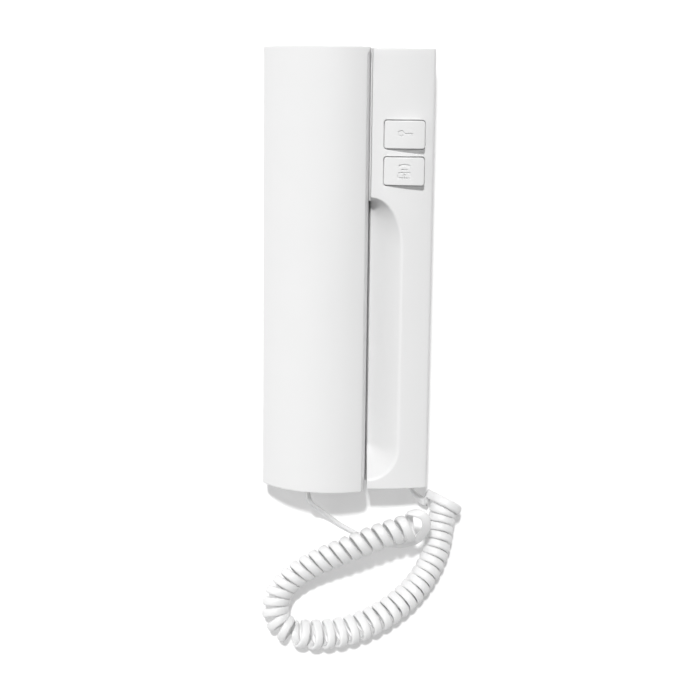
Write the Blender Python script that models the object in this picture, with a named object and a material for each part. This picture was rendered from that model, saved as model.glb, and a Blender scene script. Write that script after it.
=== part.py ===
"""Slimline door-entry wall phone with a side-mounted handset and a curly cord.

Metres, +Z out of the phone's face, +Y towards its top, +X to the right.
The origin is the centre of the flat back that lies against the wall.
"""

import math

import bmesh
import bpy
import numpy as np
from mathutils import Vector

# Overall sizes
LENGTH = 0.215  # handset, end to end
WIDTH = 0.082  # left side of the handset to right side of the console
DEPTH = 0.038  # wall to the crest of the handset
CLEARANCE = 0.0003  # between pieces that meet

# Handset
HANDSET_WALL = 0.002
HANDSET_CREST_INSET = 0.0333  # left side to the crest
HANDSET_LEFT_FALL = 0.96  # crest to the left edge, as a share of the cover's height
HANDSET_RIGHT_FALL = 0.175
HANDSET_LEFT_ROUNDNESS = 0.865  # 1 would be a full quarter round
HANDSET_RIGHT_ROUNDNESS = 0.42
HANDSET_BEVEL_WIDTH = 0.0016  # sloping strip along the right edge of the face
HANDSET_BEVEL_HEIGHT = 0.0045
HANDSET_TRAY_HEIGHT = 0.0034
TRAY_CORNER = 0.0008
LOBE_WIDTH = 0.040
LOBE_DEPTH = 0.006
EAR_LOBE_LENGTH = 0.044
MOUTH_LOBE_LENGTH = 0.038
LOBE_END_INSET = 0.009
LOBE_CORNER = 0.010
EARPIECE_RADIUS = 0.0155
EARPIECE_HEIGHT = 0.0066
EARPIECE_HOLE_RING = 0.006
EARPIECE_HOLE_RADIUS = 0.0012
GASKET_HEIGHT = 0.0015
GASKET_RADIUS = 0.0168
MICROPHONE_RADIUS = 0.0048
MICROPHONE_HEIGHT = 0.005
GROMMET_WALL = 0.0014
GROMMET_FLOOR = 0.0012
MICROPHONE_HOLE_RADIUS = 0.0011
MICROPHONE_HOLE_SPACING = 0.0036

# Base
HANDSET_GAP = 0.0011  # handset to console
CONSOLE_WIDTH = 0.030
CONSOLE_BELOW_CREST = 0.0075  # handset's crest to the console's face beside the handset
CONSOLE_FALL = 0.0043  # that face to its outer edge
CONSOLE_ROUNDNESS = 0.6
CONSOLE_EDGE_RADIUS = 0.0014
CRADLE_HEIGHT = 0.014
BASE_WALL = 0.002
BASE_END_SETBACK = 0.0005
BASE_SIDE_SETBACK = 0.0003
BASE_CORNER = 0.002
POCKET_CLEARANCE = 0.0008
PLATE_THICKNESS = 0.002
PLATE_INSET = 0.0004

# Finger recess beside the handset
RECESS_WIDTH = 0.0152
RECESS_DEPTH = 0.013
RECESS_FROM_TOP = 0.0702
RECESS_FROM_BOTTOM = 0.0048
RECESS_TOP_END = 0.024
RECESS_TOP_WALL = 0.004  # length in plan of the steep wall that closes the top end
RECESS_BOTTOM_END = 0.016
RECESS_CURVE = 1.3  # exponent of the scoop's section

# Buttons
BUTTON_WIDTH = 0.0192
BUTTON_HEIGHT = 0.0132
BUTTON_PITCH = 0.0173
BUTTON_FROM_RIGHT = 0.0144
BUTTON_FROM_TOP = 0.0402
BUTTON_PROUD_LEFT = 0.0005  # face of a key to the console's face, at its sides
BUTTON_PROUD_RIGHT = 0.0046
BUTTON_CROWN = 0.001
BUTTON_CORNER = 0.0012
BUTTON_LIP = 0.0011
BUTTON_LIP_THICKNESS = 0.0012
PLUNGER_RADIUS = 0.0024
SWITCH_SIDE = 0.006
SWITCH_HEIGHT = 0.0036
STEM_RADIUS = 0.0017
STEM_PROUD = 0.0015
STEM_SUNK = 0.0012
STEM_BORE_DEPTH = 0.0024

# Circuit board and what it carries
BOARD_THICKNESS = 0.0016
BOARD_END_GAP = 0.010
BOARD_SIDE_GAP = 0.0015
BOARD_STANDOFF = 0.0016
BOARD_TONGUE_WIDTH = 0.014
BOARD_POST_INSET = 0.003
BOARD_POST_RADIUS = 0.0026
BUZZER_RADIUS = 0.009
BUZZER_HEIGHT = 0.0085
BUZZER_FROM_TOP = 0.025
TERMINAL_POLES = 5
TERMINAL_PITCH = 0.005
TERMINAL_WIDTH = 0.0075
TERMINAL_HEIGHT = 0.0085
TERMINAL_FROM_BOTTOM = 0.050
CAPACITOR_RADIUS = 0.003
CAPACITOR_HEIGHT = 0.0075
CAPACITOR_PITCH = 0.011
TRANSISTOR_SIZE = (0.0045, 0.0036, 0.0048)

# Hook switch
HOOK_FROM_RIGHT = 0.0099  # nose to the handset's right side
HOOK_NOSE_Y = 0.010
HOOK_ARM_LENGTH = 0.028  # nose to pivot
HOOK_ARM_WIDTH = 0.010
HOOK_ARM_THICKNESS = 0.0018
HOOK_NOSE_SIDE = 0.006
HOOK_TINE_WIDTH = 0.002
HOOK_HUB_RADIUS = 0.0022
HOOK_PIVOT_HEIGHT = 0.0083
HOOK_PIN_RADIUS = 0.001
HOOK_PIN_CLEARANCE = 0.0001
HOOK_SWITCH_HEIGHT = 0.0016
HOOK_SLOT_CLEARANCE = 0.0012
BRACKET_THICKNESS = 0.002
BRACKET_GAP = 0.001  # between the lever's tines and the brackets
SPRING_WIRE = 0.0006
SPRING_PITCH = 0.0011
SPRING_TURNS = 3.5

# Screws
SCREW_SHANK_RADIUS = 0.0011
SCREW_HEAD_RADIUS = 0.0024
SCREW_HEAD_HEIGHT = 0.001
SCREW_LENGTH = 0.008
BOSS_RADIUS = 0.0032
HANDSET_SCREW_FROM_LOBE = 0.0065
HOUSING_SCREW_LENGTH = 0.0042
LUG_THICKNESS = 0.0025
LUG_WIDTH = 0.012

# Back plate
WALL_HOLE_RADIUS = 0.00225
WALL_HOLE_SPACING = 0.090
WALL_HOLE_X = -0.020
CABLE_ENTRY = (0.026, 0.018)
CABLE_ENTRY_CENTRE = (-0.008, -0.025)
CABLE_ENTRY_CORNER = 0.004

# Cord
CORD_WIDTH = 0.0044
CORD_THICKNESS = 0.0023
CURL_RADIUS = 0.0058  # axis to the middle of the flat cord
CURL_START_RADIUS = 0.0066
CURL_END_RADIUS = 0.0078
CURL_POINTS = 9
CURL_RUN_IN = 0.0015  # straight run into the first turn
CURL_FLARE_TURNS = 1.3
RELIEF_RADIUS = 0.003
RELIEF_FLANGE_RADIUS = 0.004
RELIEF_PROUD = 0.002
HANDSET_LEAD_X = -0.018
HANDSET_LEAD_RISE = 0.0008  # bush to the parting line below it
BASE_LEAD_INSET = 0.0007  # bush's flange to the console's side wall
BASE_LEAD_Z = 0.0085

# Places worked out from the sizes
LEFT = -WIDTH / 2
RIGHT = WIDTH / 2
HANDSET_END = LENGTH / 2
CONSOLE_LEFT = RIGHT - CONSOLE_WIDTH
HANDSET_RIGHT = CONSOLE_LEFT - HANDSET_GAP
HANDSET_CENTRE_X = (LEFT + HANDSET_RIGHT) / 2
HANDSET_CREST_X = LEFT + HANDSET_CREST_INSET
HANDSET_BACK = CRADLE_HEIGHT + CLEARANCE
TRAY_TOP = HANDSET_BACK + HANDSET_TRAY_HEIGHT
COVER_BOTTOM = TRAY_TOP + CLEARANCE
HANDSET_LEFT_DROP = HANDSET_LEFT_FALL * (DEPTH - COVER_BOTTOM)
HANDSET_RIGHT_DROP = HANDSET_RIGHT_FALL * (DEPTH - COVER_BOTTOM)
HANDSET_LEAD_Z = COVER_BOTTOM + HANDSET_LEAD_RISE + RELIEF_RADIUS
LOBE_BOTTOM = HANDSET_BACK - LOBE_DEPTH
LOBE_FLOOR = LOBE_BOTTOM + HANDSET_WALL
EAR_Y = HANDSET_END - LOBE_END_INSET - EAR_LOBE_LENGTH / 2
MOUTH_Y = -HANDSET_END + LOBE_END_INSET + MOUTH_LOBE_LENGTH / 2
LOBES = ((EAR_Y, EAR_LOBE_LENGTH), (MOUTH_Y, MOUTH_LOBE_LENGTH))
HANDSET_SCREW_YS = (
    EAR_Y - EAR_LOBE_LENGTH / 2 - HANDSET_SCREW_FROM_LOBE,
    MOUTH_Y + MOUTH_LOBE_LENGTH / 2 + HANDSET_SCREW_FROM_LOBE,
)
BASE_END = HANDSET_END - BASE_END_SETBACK
BASE_LEFT = LEFT + BASE_SIDE_SETBACK
CONSOLE_INNER_HEIGHT = DEPTH - CONSOLE_BELOW_CREST
CONSOLE_OUTER_HEIGHT = CONSOLE_INNER_HEIGHT - CONSOLE_FALL
HOUSING_BOTTOM = PLATE_THICKNESS + CLEARANCE
POCKET_FLOOR = LOBE_BOTTOM - CLEARANCE
BUTTON_X = RIGHT - BUTTON_FROM_RIGHT
DOOR_BUTTON_Y = BASE_END - BUTTON_FROM_TOP
CALL_BUTTON_Y = DOOR_BUTTON_Y - BUTTON_PITCH
BOARD_BOTTOM = PLATE_THICKNESS + BOARD_STANDOFF + CLEARANCE
BOARD_TOP = BOARD_BOTTOM + BOARD_THICKNESS
BOARD_HALF = BASE_END - BASE_WALL - BOARD_END_GAP
BOARD_LEFT = CONSOLE_LEFT + BASE_WALL + BOARD_SIDE_GAP
BOARD_RIGHT = RIGHT - BASE_WALL - BOARD_SIDE_GAP
PART_BOTTOM = BOARD_TOP + CLEARANCE  # underside of what stands on the board
SWITCH_TOP = PART_BOTTOM + SWITCH_HEIGHT
STEM_TOP = SWITCH_TOP + STEM_PROUD
HOOK_X = HANDSET_RIGHT - HOOK_FROM_RIGHT
HOOK_PIVOT_Y = HOOK_NOSE_Y + HOOK_ARM_LENGTH
HOOK_SWITCH_TOP = PART_BOTTOM + HOOK_SWITCH_HEIGHT
HOOK_ARM_BOTTOM = HOOK_SWITCH_TOP + CLEARANCE
HOOK_BRACKET_REACH = HOOK_ARM_WIDTH / 2 + BRACKET_GAP
BASE_LEAD_X = RIGHT - BASE_WALL - BASE_LEAD_INSET - RELIEF_FLANGE_RADIUS
SCREW_HOLE_RADIUS = SCREW_SHANK_RADIUS + CLEARANCE
HEAD_HOLE_RADIUS = SCREW_HEAD_RADIUS + CLEARANCE
HEAD_HOLE_DEPTH = SCREW_HEAD_HEIGHT + CLEARANCE / 2
OVERCUT = 0.001  # how far a cutter runs past the face it opens

# The cord's route: points chosen by hand, from the handset to the base.
HANDSET_LEAD_ROUTE = (
    (-0.0166, -0.1180, 0.0182),
    (-0.0143, -0.1213, 0.0134),
    (-0.0114, -0.1248, 0.0088),
    (-0.0074, -0.1291, 0.0046),
    (-0.0023, -0.1336, 0.0021),
    (0.0036, -0.1371, 0.0014),
    (0.0100, -0.1403, 0.0014),
    (0.0165, -0.1426, 0.0024),
    (0.0226, -0.1434, 0.0048),
    (0.0284, -0.1420, 0.0098),
    (0.0336, -0.1385, 0.0170),
    (0.0376, -0.1336, 0.0245),
    (0.0402, -0.1284, 0.0300),
    (0.0410, -0.1234, 0.0334),
    (0.0395, -0.1194, 0.0345),
    (0.0364, -0.1180, 0.0342),
)
COIL_AXIS = (
    (0.0348, -0.1260, 0.0295),
    (0.0237, -0.1296, 0.0291),
    (0.0126, -0.1344, 0.0278),
    (0.0021, -0.1397, 0.0257),
    (-0.0081, -0.1454, 0.0220),
    (-0.0178, -0.1518, 0.0180),
    (-0.0266, -0.1593, 0.0143),
    (-0.0331, -0.1684, 0.0113),
    (-0.0348, -0.1793, 0.0095),
    (-0.0328, -0.1846, 0.0090),
    (-0.0287, -0.1886, 0.0088),
    (-0.0229, -0.1908, 0.0087),
    (-0.0097, -0.1911, 0.0086),
    (0.0027, -0.1888, 0.0084),
    (0.0135, -0.1844, 0.0082),
    (0.0233, -0.1784, 0.0080),
    (0.0315, -0.1715, 0.0080),
    (0.0380, -0.1641, 0.0080),
    (0.0430, -0.1561, 0.0082),
    (0.0466, -0.1476, 0.0087),
    (0.0486, -0.1386, 0.0095),
    (0.0496, -0.1293, 0.0106),
    (0.0508, -0.1216, 0.0120),
    (0.0522, -0.1180, 0.0128),
)
COIL_START_ANGLE = math.radians(180)
COIL_END_ANGLE = math.radians(20)
COIL_REVERSAL = 0.475  # share of the axis where the winding changes hand
COIL_REVERSAL_LENGTH = 0.03
# Share of the coil's axis, and there: the pitch of the turns, and how far their
# tops lean forward and to the left, per unit of height
COIL_WINDING = (
    (0.00, 0.0058, -0.15, -0.35),
    (0.10, 0.0060, -0.15, -0.35),
    (0.28, 0.0061, -0.15, -0.30),
    (0.40, 0.0057, -0.15, -0.10),
    (0.45, 0.0059, -0.10, 0.00),
    (0.52, 0.0065, 0.45, -0.35),
    (0.58, 0.0063, 0.45, -0.35),
    (0.68, 0.0057, 0.50, -0.30),
    (0.76, 0.0050, 0.45, -0.15),
    (0.84, 0.0048, 0.45, 0.00),
    (0.95, 0.0048, 0.45, 0.00),
    (1.00, 0.0048, 0.25, 0.00),
)
BASE_LEAD_ROUTE = ((0.0420, -0.1198, 0.0072),)
# Share of the handset's lead, and how flat it lies there
HANDSET_LEAD_LIE = ((0.0, 0.0), (0.1, 0.2), (0.5, 0.2), (0.75, 0.9), (1.0, 1.0))

SEGMENTS = 24


def srgb(code):
    """Linear RGB of a hex colour."""
    channels = [int(code[i : i + 2], 16) / 255 for i in (0, 2, 4)]
    return [c / 12.92 if c <= 0.04045 else ((c + 0.055) / 1.055) ** 2.4 for c in channels]


def material(name, colour, roughness, metallic=0.0):
    made = bpy.data.materials.new(name)
    made.use_nodes = True
    shader = made.node_tree.nodes["Principled BSDF"]
    shader.inputs["Base Color"].default_value = (*srgb(colour), 1)
    shader.inputs["Roughness"].default_value = roughness
    shader.inputs["Metallic"].default_value = metallic
    return made


def clear_scene():
    for obj in list(bpy.data.objects):
        bpy.data.objects.remove(obj, do_unlink=True)


def add_mesh(name, bm, finish):
    """Turns a bmesh into a named object of the scene."""
    bmesh.ops.recalc_face_normals(bm, faces=bm.faces)
    if bm.calc_volume(signed=True) < 0:
        bmesh.ops.reverse_faces(bm, faces=bm.faces)
    mesh = bpy.data.meshes.new(name)
    bm.to_mesh(mesh)
    bm.free()
    obj = bpy.data.objects.new(name, mesh)
    if finish:
        mesh.materials.append(finish)
    bpy.context.scene.collection.objects.link(obj)
    return obj


def corner_arc(before, corner, after, radius, steps):
    """Points that round a corner of an outline."""
    a = (Vector(before) - Vector(corner)).normalized()
    b = (Vector(after) - Vector(corner)).normalized()
    half = a.angle(b) / 2
    centre = Vector(corner) + (a + b).normalized() * radius / math.sin(half)
    reach = radius / math.tan(half)
    start = Vector(corner) + a * reach - centre
    end = Vector(corner) + b * reach - centre
    sweep = start.angle(end)
    points = []
    for i in range(steps + 1):
        t = i / steps
        along = (start * math.sin((1 - t) * sweep) + end * math.sin(t * sweep)) / math.sin(sweep)
        points.append(tuple(centre + along))
    return points


def rounded_rectangle(centre, size, radius, steps=5):
    """Outline with four round corners."""
    x, y = centre
    w, h = size[0] / 2, size[1] / 2
    corners = [(x - w, y - h), (x + w, y - h), (x + w, y + h), (x - w, y + h)]
    outline = []
    for i in range(4):
        outline += corner_arc(corners[i - 1], corners[i], corners[(i + 1) % 4], radius, steps)
    return outline


def inset(outline, distance):
    """Moves every side of an anticlockwise outline inwards by one distance."""
    moved = []
    for i, corner in enumerate(outline):
        before = (Vector(corner) - Vector(outline[i - 1])).normalized()
        after = (Vector(outline[(i + 1) % len(outline)]) - Vector(corner)).normalized()
        normal = Vector((-before.y - after.y, before.x + after.x)).normalized()
        stretch = max(normal.dot(Vector((-after.y, after.x))), 0.2)
        moved.append(tuple(Vector(corner) + normal * distance / stretch))
    return moved


def prism(name, outline, start, end, finish=None, along="Z"):
    """Solid with an outline for its section, along Z (outline in x, y), Y (x, z) or X (y, z)."""
    place = {
        "X": lambda p, h: (h, p[0], p[1]),
        "Y": lambda p, h: (p[0], h, p[1]),
        "Z": lambda p, h: (p[0], p[1], h),
    }[along]
    bm = bmesh.new()
    low = [bm.verts.new(place(p, start)) for p in outline]
    high = [bm.verts.new(place(p, end)) for p in outline]
    bm.faces.new(low)
    bm.faces.new(high)
    for i in range(len(outline)):
        bm.faces.new((low[i - 1], low[i], high[i], high[i - 1]))
    return add_mesh(name, bm, finish)


def block(name, low, high, finish=None):
    outline = [(low[0], low[1]), (high[0], low[1]), (high[0], high[1]), (low[0], high[1])]
    return prism(name, outline, low[2], high[2], finish)


def rod(name, centre, radius, start, end, finish=None, along="Z", segments=SEGMENTS):
    turns = [2 * math.pi * i / segments for i in range(segments)]
    outline = [(centre[0] + radius * math.cos(a), centre[1] + radius * math.sin(a)) for a in turns]
    obj = prism(name, outline, start, end, finish, along)
    return smooth(obj)


def smooth(obj, angle=40):
    obj.data.shade_smooth()
    obj.data.set_sharp_from_angle(angle=math.radians(angle))
    return obj


def turned(name, profile, finish, segments=SEGMENTS):
    """Solid of revolution about Z of a closed profile of (radius, height), at the origin."""
    bm = bmesh.new()
    ring = [bm.verts.new((r, 0, z)) for r, z in profile]
    edges = [bm.edges.new((ring[i - 1], ring[i])) for i in range(len(ring))]
    bmesh.ops.spin(
        bm,
        geom=ring + edges,
        cent=(0, 0, 0),
        axis=(0, 0, 1),
        angle=2 * math.pi,
        steps=segments,
        use_merge=True,
    )
    bmesh.ops.remove_doubles(bm, verts=bm.verts, dist=1e-6)
    loose = [f for f in bm.faces if f.calc_area() < 1e-13]
    bmesh.ops.delete(bm, geom=loose, context="FACES")
    return smooth(add_mesh(name, bm, finish))


def boolean(target, other, operation):
    modifier = target.modifiers.new(operation.title(), "BOOLEAN")
    modifier.operation = operation
    modifier.solver = "EXACT"
    modifier.object = other
    other.hide_render = True
    other.display_type = "WIRE"
    other.hide_set(True)
    return target


def cut(target, *cutters):
    for cutter in cutters:
        boolean(target, cutter, "DIFFERENCE")
    return target


def join(target, *others):
    for other in others:
        boolean(target, other, "UNION")
    return target


def face_drop(share, roundness):
    """How far a rounded face has fallen, from 0 at the crest to 1 at its edge."""
    full = 1 - math.sqrt(1 - roundness**2)
    return (1 - math.sqrt(1 - (roundness * share) ** 2)) / full


def handset_outline():
    """Section of the handset's front cover, in x and z."""
    face_right = HANDSET_RIGHT - HANDSET_BEVEL_WIDTH
    edge_height = DEPTH - HANDSET_RIGHT_DROP
    outline = [
        (LEFT, COVER_BOTTOM),
        (HANDSET_RIGHT, COVER_BOTTOM),
        (HANDSET_RIGHT, edge_height - HANDSET_BEVEL_HEIGHT),
    ]
    for i in range(8):
        share = 1 - i / 8
        x = HANDSET_CREST_X + (face_right - HANDSET_CREST_X) * share
        drop = HANDSET_RIGHT_DROP * face_drop(share, HANDSET_RIGHT_ROUNDNESS)
        outline.append((x, DEPTH - drop))
    for i in range(19):
        share = math.sin(math.pi / 2 * i / 18)
        x = HANDSET_CREST_X - HANDSET_CREST_INSET * share
        drop = HANDSET_LEFT_DROP * face_drop(share, HANDSET_LEFT_ROUNDNESS)
        outline.append((x, DEPTH - drop))
    return outline


def console_height(x):
    """Height of the console's face above the wall."""
    share = (x - CONSOLE_LEFT) / CONSOLE_WIDTH
    share = min(max(share, 0), 1)
    drop = CONSOLE_INNER_HEIGHT - CONSOLE_OUTER_HEIGHT
    return CONSOLE_INNER_HEIGHT - drop * face_drop(share, CONSOLE_ROUNDNESS)


def housing_outline(edge_radius=0):
    """Section of the base: the low cradle on the left and the console on the right."""
    face = []
    for i in range(13):
        x = RIGHT - CONSOLE_WIDTH * i / 12
        face.append((x, console_height(x)))
    edge = face[:1]
    if edge_radius:
        edge = corner_arc((RIGHT, HOUSING_BOTTOM), face[0], face[1], edge_radius, 4)
    return [
        (BASE_LEFT, HOUSING_BOTTOM),
        (RIGHT, HOUSING_BOTTOM),
        *edge,
        *face[1:],
        (CONSOLE_LEFT, CRADLE_HEIGHT),
        (BASE_LEFT, CRADLE_HEIGHT),
    ]


def opened(outline, distance, bottom):
    """An inset outline whose first two points, its lowest side, drop to a given height."""
    inner = inset(outline, distance)
    inner[0] = (inner[0][0], bottom)
    inner[1] = (inner[1][0], bottom)
    return inner


def recess_cutter(name, grow):
    """Scoop beside the handset, deepest at the handset, with its outline on the console's face."""
    width = RECESS_WIDTH + grow
    depth = RECESS_DEPTH + grow
    top = BASE_END - RECESS_FROM_TOP + grow
    bottom = -BASE_END + RECESS_FROM_BOTTOM - grow
    top_end = RECESS_TOP_END + grow
    bottom_end = RECESS_BOTTOM_END + grow
    side = CONSOLE_LEFT - HANDSET_GAP / 2
    steps = 8
    bm = bmesh.new()
    rings = []
    for level in (1.18, 1.0, 0.9, 0.8, 0.65, 0.5, 0.35, 0.2, 0.08):
        fall = depth * (1 - level**RECESS_CURVE) if level <= 1 else -depth * (level - 1) * 1.3
        top_reach = top_end - RECESS_TOP_WALL * (1 - level)
        path = [(side, top - top_end + top_reach)]
        for i in range(steps + 1):
            angle = math.pi / 2 * (1 - i / steps)
            x = CONSOLE_LEFT + width * level * math.cos(angle)
            path.append((x, top - top_end + top_reach * math.sin(angle)))
        for i in range(steps + 1):
            angle = math.pi / 2 * i / steps
            x = CONSOLE_LEFT + width * level * math.cos(angle)
            path.append((x, bottom + bottom_end - bottom_end * level * math.sin(angle)))
        path.append((side, bottom + bottom_end * (1 - level)))
        rings.append([bm.verts.new((x, y, console_height(x) - fall)) for x, y in path])
    for upper, lower in zip(rings, rings[1:]):
        for i in range(len(upper)):
            bm.faces.new((upper[i - 1], upper[i], lower[i], lower[i - 1]))
    lid = [bm.verts.new((v.co.x, v.co.y, DEPTH)) for v in rings[0]]
    for i in range(len(lid)):
        bm.faces.new((lid[i - 1], lid[i], rings[0][i], rings[0][i - 1]))
    bm.faces.new(lid)
    bm.faces.new(rings[-1])
    return add_mesh(name, bm, None)


def screw(name, head_under, length, finish):
    """Pan-head screw pointing up +Z, with the underside of its head at the given point."""
    head_top = -SCREW_HEAD_HEIGHT
    shank = SCREW_SHANK_RADIUS
    profile = [
        (0, head_top),
        (SCREW_HEAD_RADIUS * 0.8, head_top),
        (SCREW_HEAD_RADIUS, head_top * 0.6),
        (SCREW_HEAD_RADIUS, 0),
        (shank, 0),
        (shank, length - shank),
        (shank * 0.3, length),
        (0, length),
    ]
    obj = turned(name, profile, finish, 16)
    obj.location = head_under
    return obj


def lobe_block(name, y, length, grow, low, high):
    size = (LOBE_WIDTH + 2 * grow, length + 2 * grow)
    corner = LOBE_CORNER + grow
    return prism(name, rounded_rectangle((HANDSET_CENTRE_X, y), size, corner), low, high)


def make_handset(finishes):
    outer = handset_outline()
    wall = HANDSET_WALL
    cover = prism("handset_front_cover", outer, -HANDSET_END, HANDSET_END, finishes["shell"], "Y")
    smooth(cover, 25)
    hollow = opened(outer, wall, COVER_BOTTOM - OVERCUT)
    reach = HANDSET_END - wall
    cut(cover, prism("handset_hollow", hollow, -reach, reach, along="Y"))
    boss_bottom = HANDSET_BACK + wall + CLEARANCE
    boss_top = DEPTH - wall
    for i, y in enumerate(HANDSET_SCREW_YS):
        centre = (HANDSET_CENTRE_X, y)
        join(cover, rod(f"handset_boss_{i}", centre, BOSS_RADIUS, boss_bottom, boss_top))
        cut(cover, rod(f"boss_hole_{i}", centre, SCREW_HOLE_RADIUS, 0, boss_top - 2 * wall))
    relief_centre = (HANDSET_LEAD_X, HANDSET_LEAD_Z)
    hole_radius = RELIEF_RADIUS + CLEARANCE
    ends = (-HANDSET_END - OVERCUT, -HANDSET_END + wall + OVERCUT)
    cut(cover, rod("handset_lead_hole", relief_centre, hole_radius, *ends, along="Y"))

    size = (HANDSET_RIGHT - LEFT, LENGTH)
    corner = TRAY_CORNER
    outline = rounded_rectangle((HANDSET_CENTRE_X, 0), size, corner, 3)
    tray = prism("handset_inner_cover", outline, HANDSET_BACK, TRAY_TOP, finishes["shell"])
    for i, (y, length) in enumerate(LOBES):
        join(tray, lobe_block(f"lobe_{i}", y, length, 0, LOBE_BOTTOM, HANDSET_BACK + wall / 2))
    inner_size = (size[0] - 2 * wall, size[1] - 2 * wall)
    inside = rounded_rectangle((HANDSET_CENTRE_X, 0), inner_size, corner, 3)
    cut(tray, prism("tray_hollow", inside, HANDSET_BACK + wall, TRAY_TOP + OVERCUT))
    for i, (y, length) in enumerate(LOBES):
        cut(tray, lobe_block(f"lobe_hollow_{i}", y, length, -wall, LOBE_FLOOR, TRAY_TOP))
    for i in range(7):
        reach = EARPIECE_HOLE_RING if i else 0
        angle = 2 * math.pi * i / 6
        centre = (HANDSET_CENTRE_X + reach * math.cos(angle), EAR_Y + reach * math.sin(angle))
        cut(tray, sound_hole(f"ear_hole_{i}", centre, EARPIECE_HOLE_RADIUS))
    for i in (-1, 0, 1):
        centre = (HANDSET_CENTRE_X + i * MICROPHONE_HOLE_SPACING, MOUTH_Y)
        cut(tray, sound_hole(f"mouth_hole_{i}", centre, MICROPHONE_HOLE_RADIUS))
    for i, y in enumerate(HANDSET_SCREW_YS):
        centre = (HANDSET_CENTRE_X, y)
        low = HANDSET_BACK - OVERCUT
        cut(tray, rod(f"tray_hole_{i}", centre, SCREW_HOLE_RADIUS, low, TRAY_TOP, segments=16))
        seat = HANDSET_BACK + HEAD_HOLE_DEPTH
        cut(tray, rod(f"tray_seat_{i}", centre, HEAD_HOLE_RADIUS, low, seat, segments=16))
        place = (*centre, seat - CLEARANCE / 3)
        screw(f"handset_screw_{i + 1}", place, SCREW_LENGTH, finishes["steel"])
    make_capsules(finishes)
    make_relief(
        "handset_strain_relief",
        (HANDSET_LEAD_X, -HANDSET_END, HANDSET_LEAD_Z),
        wall,
        finishes["cord"],
    )


def sound_hole(name, centre, radius):
    return rod(name, centre, radius, LOBE_BOTTOM - OVERCUT, LOBE_FLOOR + OVERCUT, segments=12)


def make_capsules(finishes):
    gasket_low = LOBE_FLOOR + CLEARANCE
    gasket_high = gasket_low + GASKET_HEIGHT
    hole = EARPIECE_HOLE_RING + 2 * EARPIECE_HOLE_RADIUS
    ring = [
        (hole, gasket_low),
        (GASKET_RADIUS, gasket_low),
        (GASKET_RADIUS, gasket_high),
        (hole, gasket_high),
    ]
    gasket = turned("earpiece_gasket", ring, finishes["rubber"])
    gasket.location = (HANDSET_CENTRE_X, EAR_Y, 0)
    low = gasket_high + CLEARANCE
    high = low + EARPIECE_HEIGHT
    step = EARPIECE_RADIUS * 0.7
    can = [
        (0, low),
        (EARPIECE_RADIUS, low),
        (EARPIECE_RADIUS, low + EARPIECE_HEIGHT * 0.4),
        (step, low + EARPIECE_HEIGHT * 0.5),
        (step, high),
        (0, high),
    ]
    capsule = turned("earpiece_capsule", can, finishes["steel"])
    capsule.location = (HANDSET_CENTRE_X, EAR_Y, 0)

    low = LOBE_FLOOR + CLEARANCE
    bore = MICROPHONE_RADIUS + CLEARANCE
    outer = bore + GROMMET_WALL
    hole = MICROPHONE_RADIUS * 0.8
    floor = low + GROMMET_FLOOR
    high = floor + MICROPHONE_HEIGHT
    cup = [(hole, low), (outer, low), (outer, high), (bore, high), (bore, floor), (hole, floor)]
    grommet = turned("microphone_grommet", cup, finishes["rubber"])
    grommet.location = (HANDSET_CENTRE_X, MOUTH_Y, 0)
    low = floor + CLEARANCE
    high = low + MICROPHONE_HEIGHT
    centre = (HANDSET_CENTRE_X, MOUTH_Y)
    rod("microphone_capsule", centre, MICROPHONE_RADIUS, low, high, finishes["steel"])


def make_relief(name, end_face, wall, finish):
    """Cord bush through an end wall that faces -Y; a flange holds it inside."""
    inner = wall + CLEARANCE
    profile = [
        (0, -RELIEF_PROUD),
        (RELIEF_RADIUS * 0.85, -RELIEF_PROUD),
        (RELIEF_RADIUS, -RELIEF_PROUD * 0.6),
        (RELIEF_RADIUS, inner),
        (RELIEF_FLANGE_RADIUS, inner),
        (RELIEF_FLANGE_RADIUS, inner + wall / 2),
        (0, inner + wall / 2),
    ]
    bush = turned(name, profile, finish, 16)
    bush.rotation_euler = (-math.pi / 2, 0, 0)
    bush.location = end_face


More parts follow.
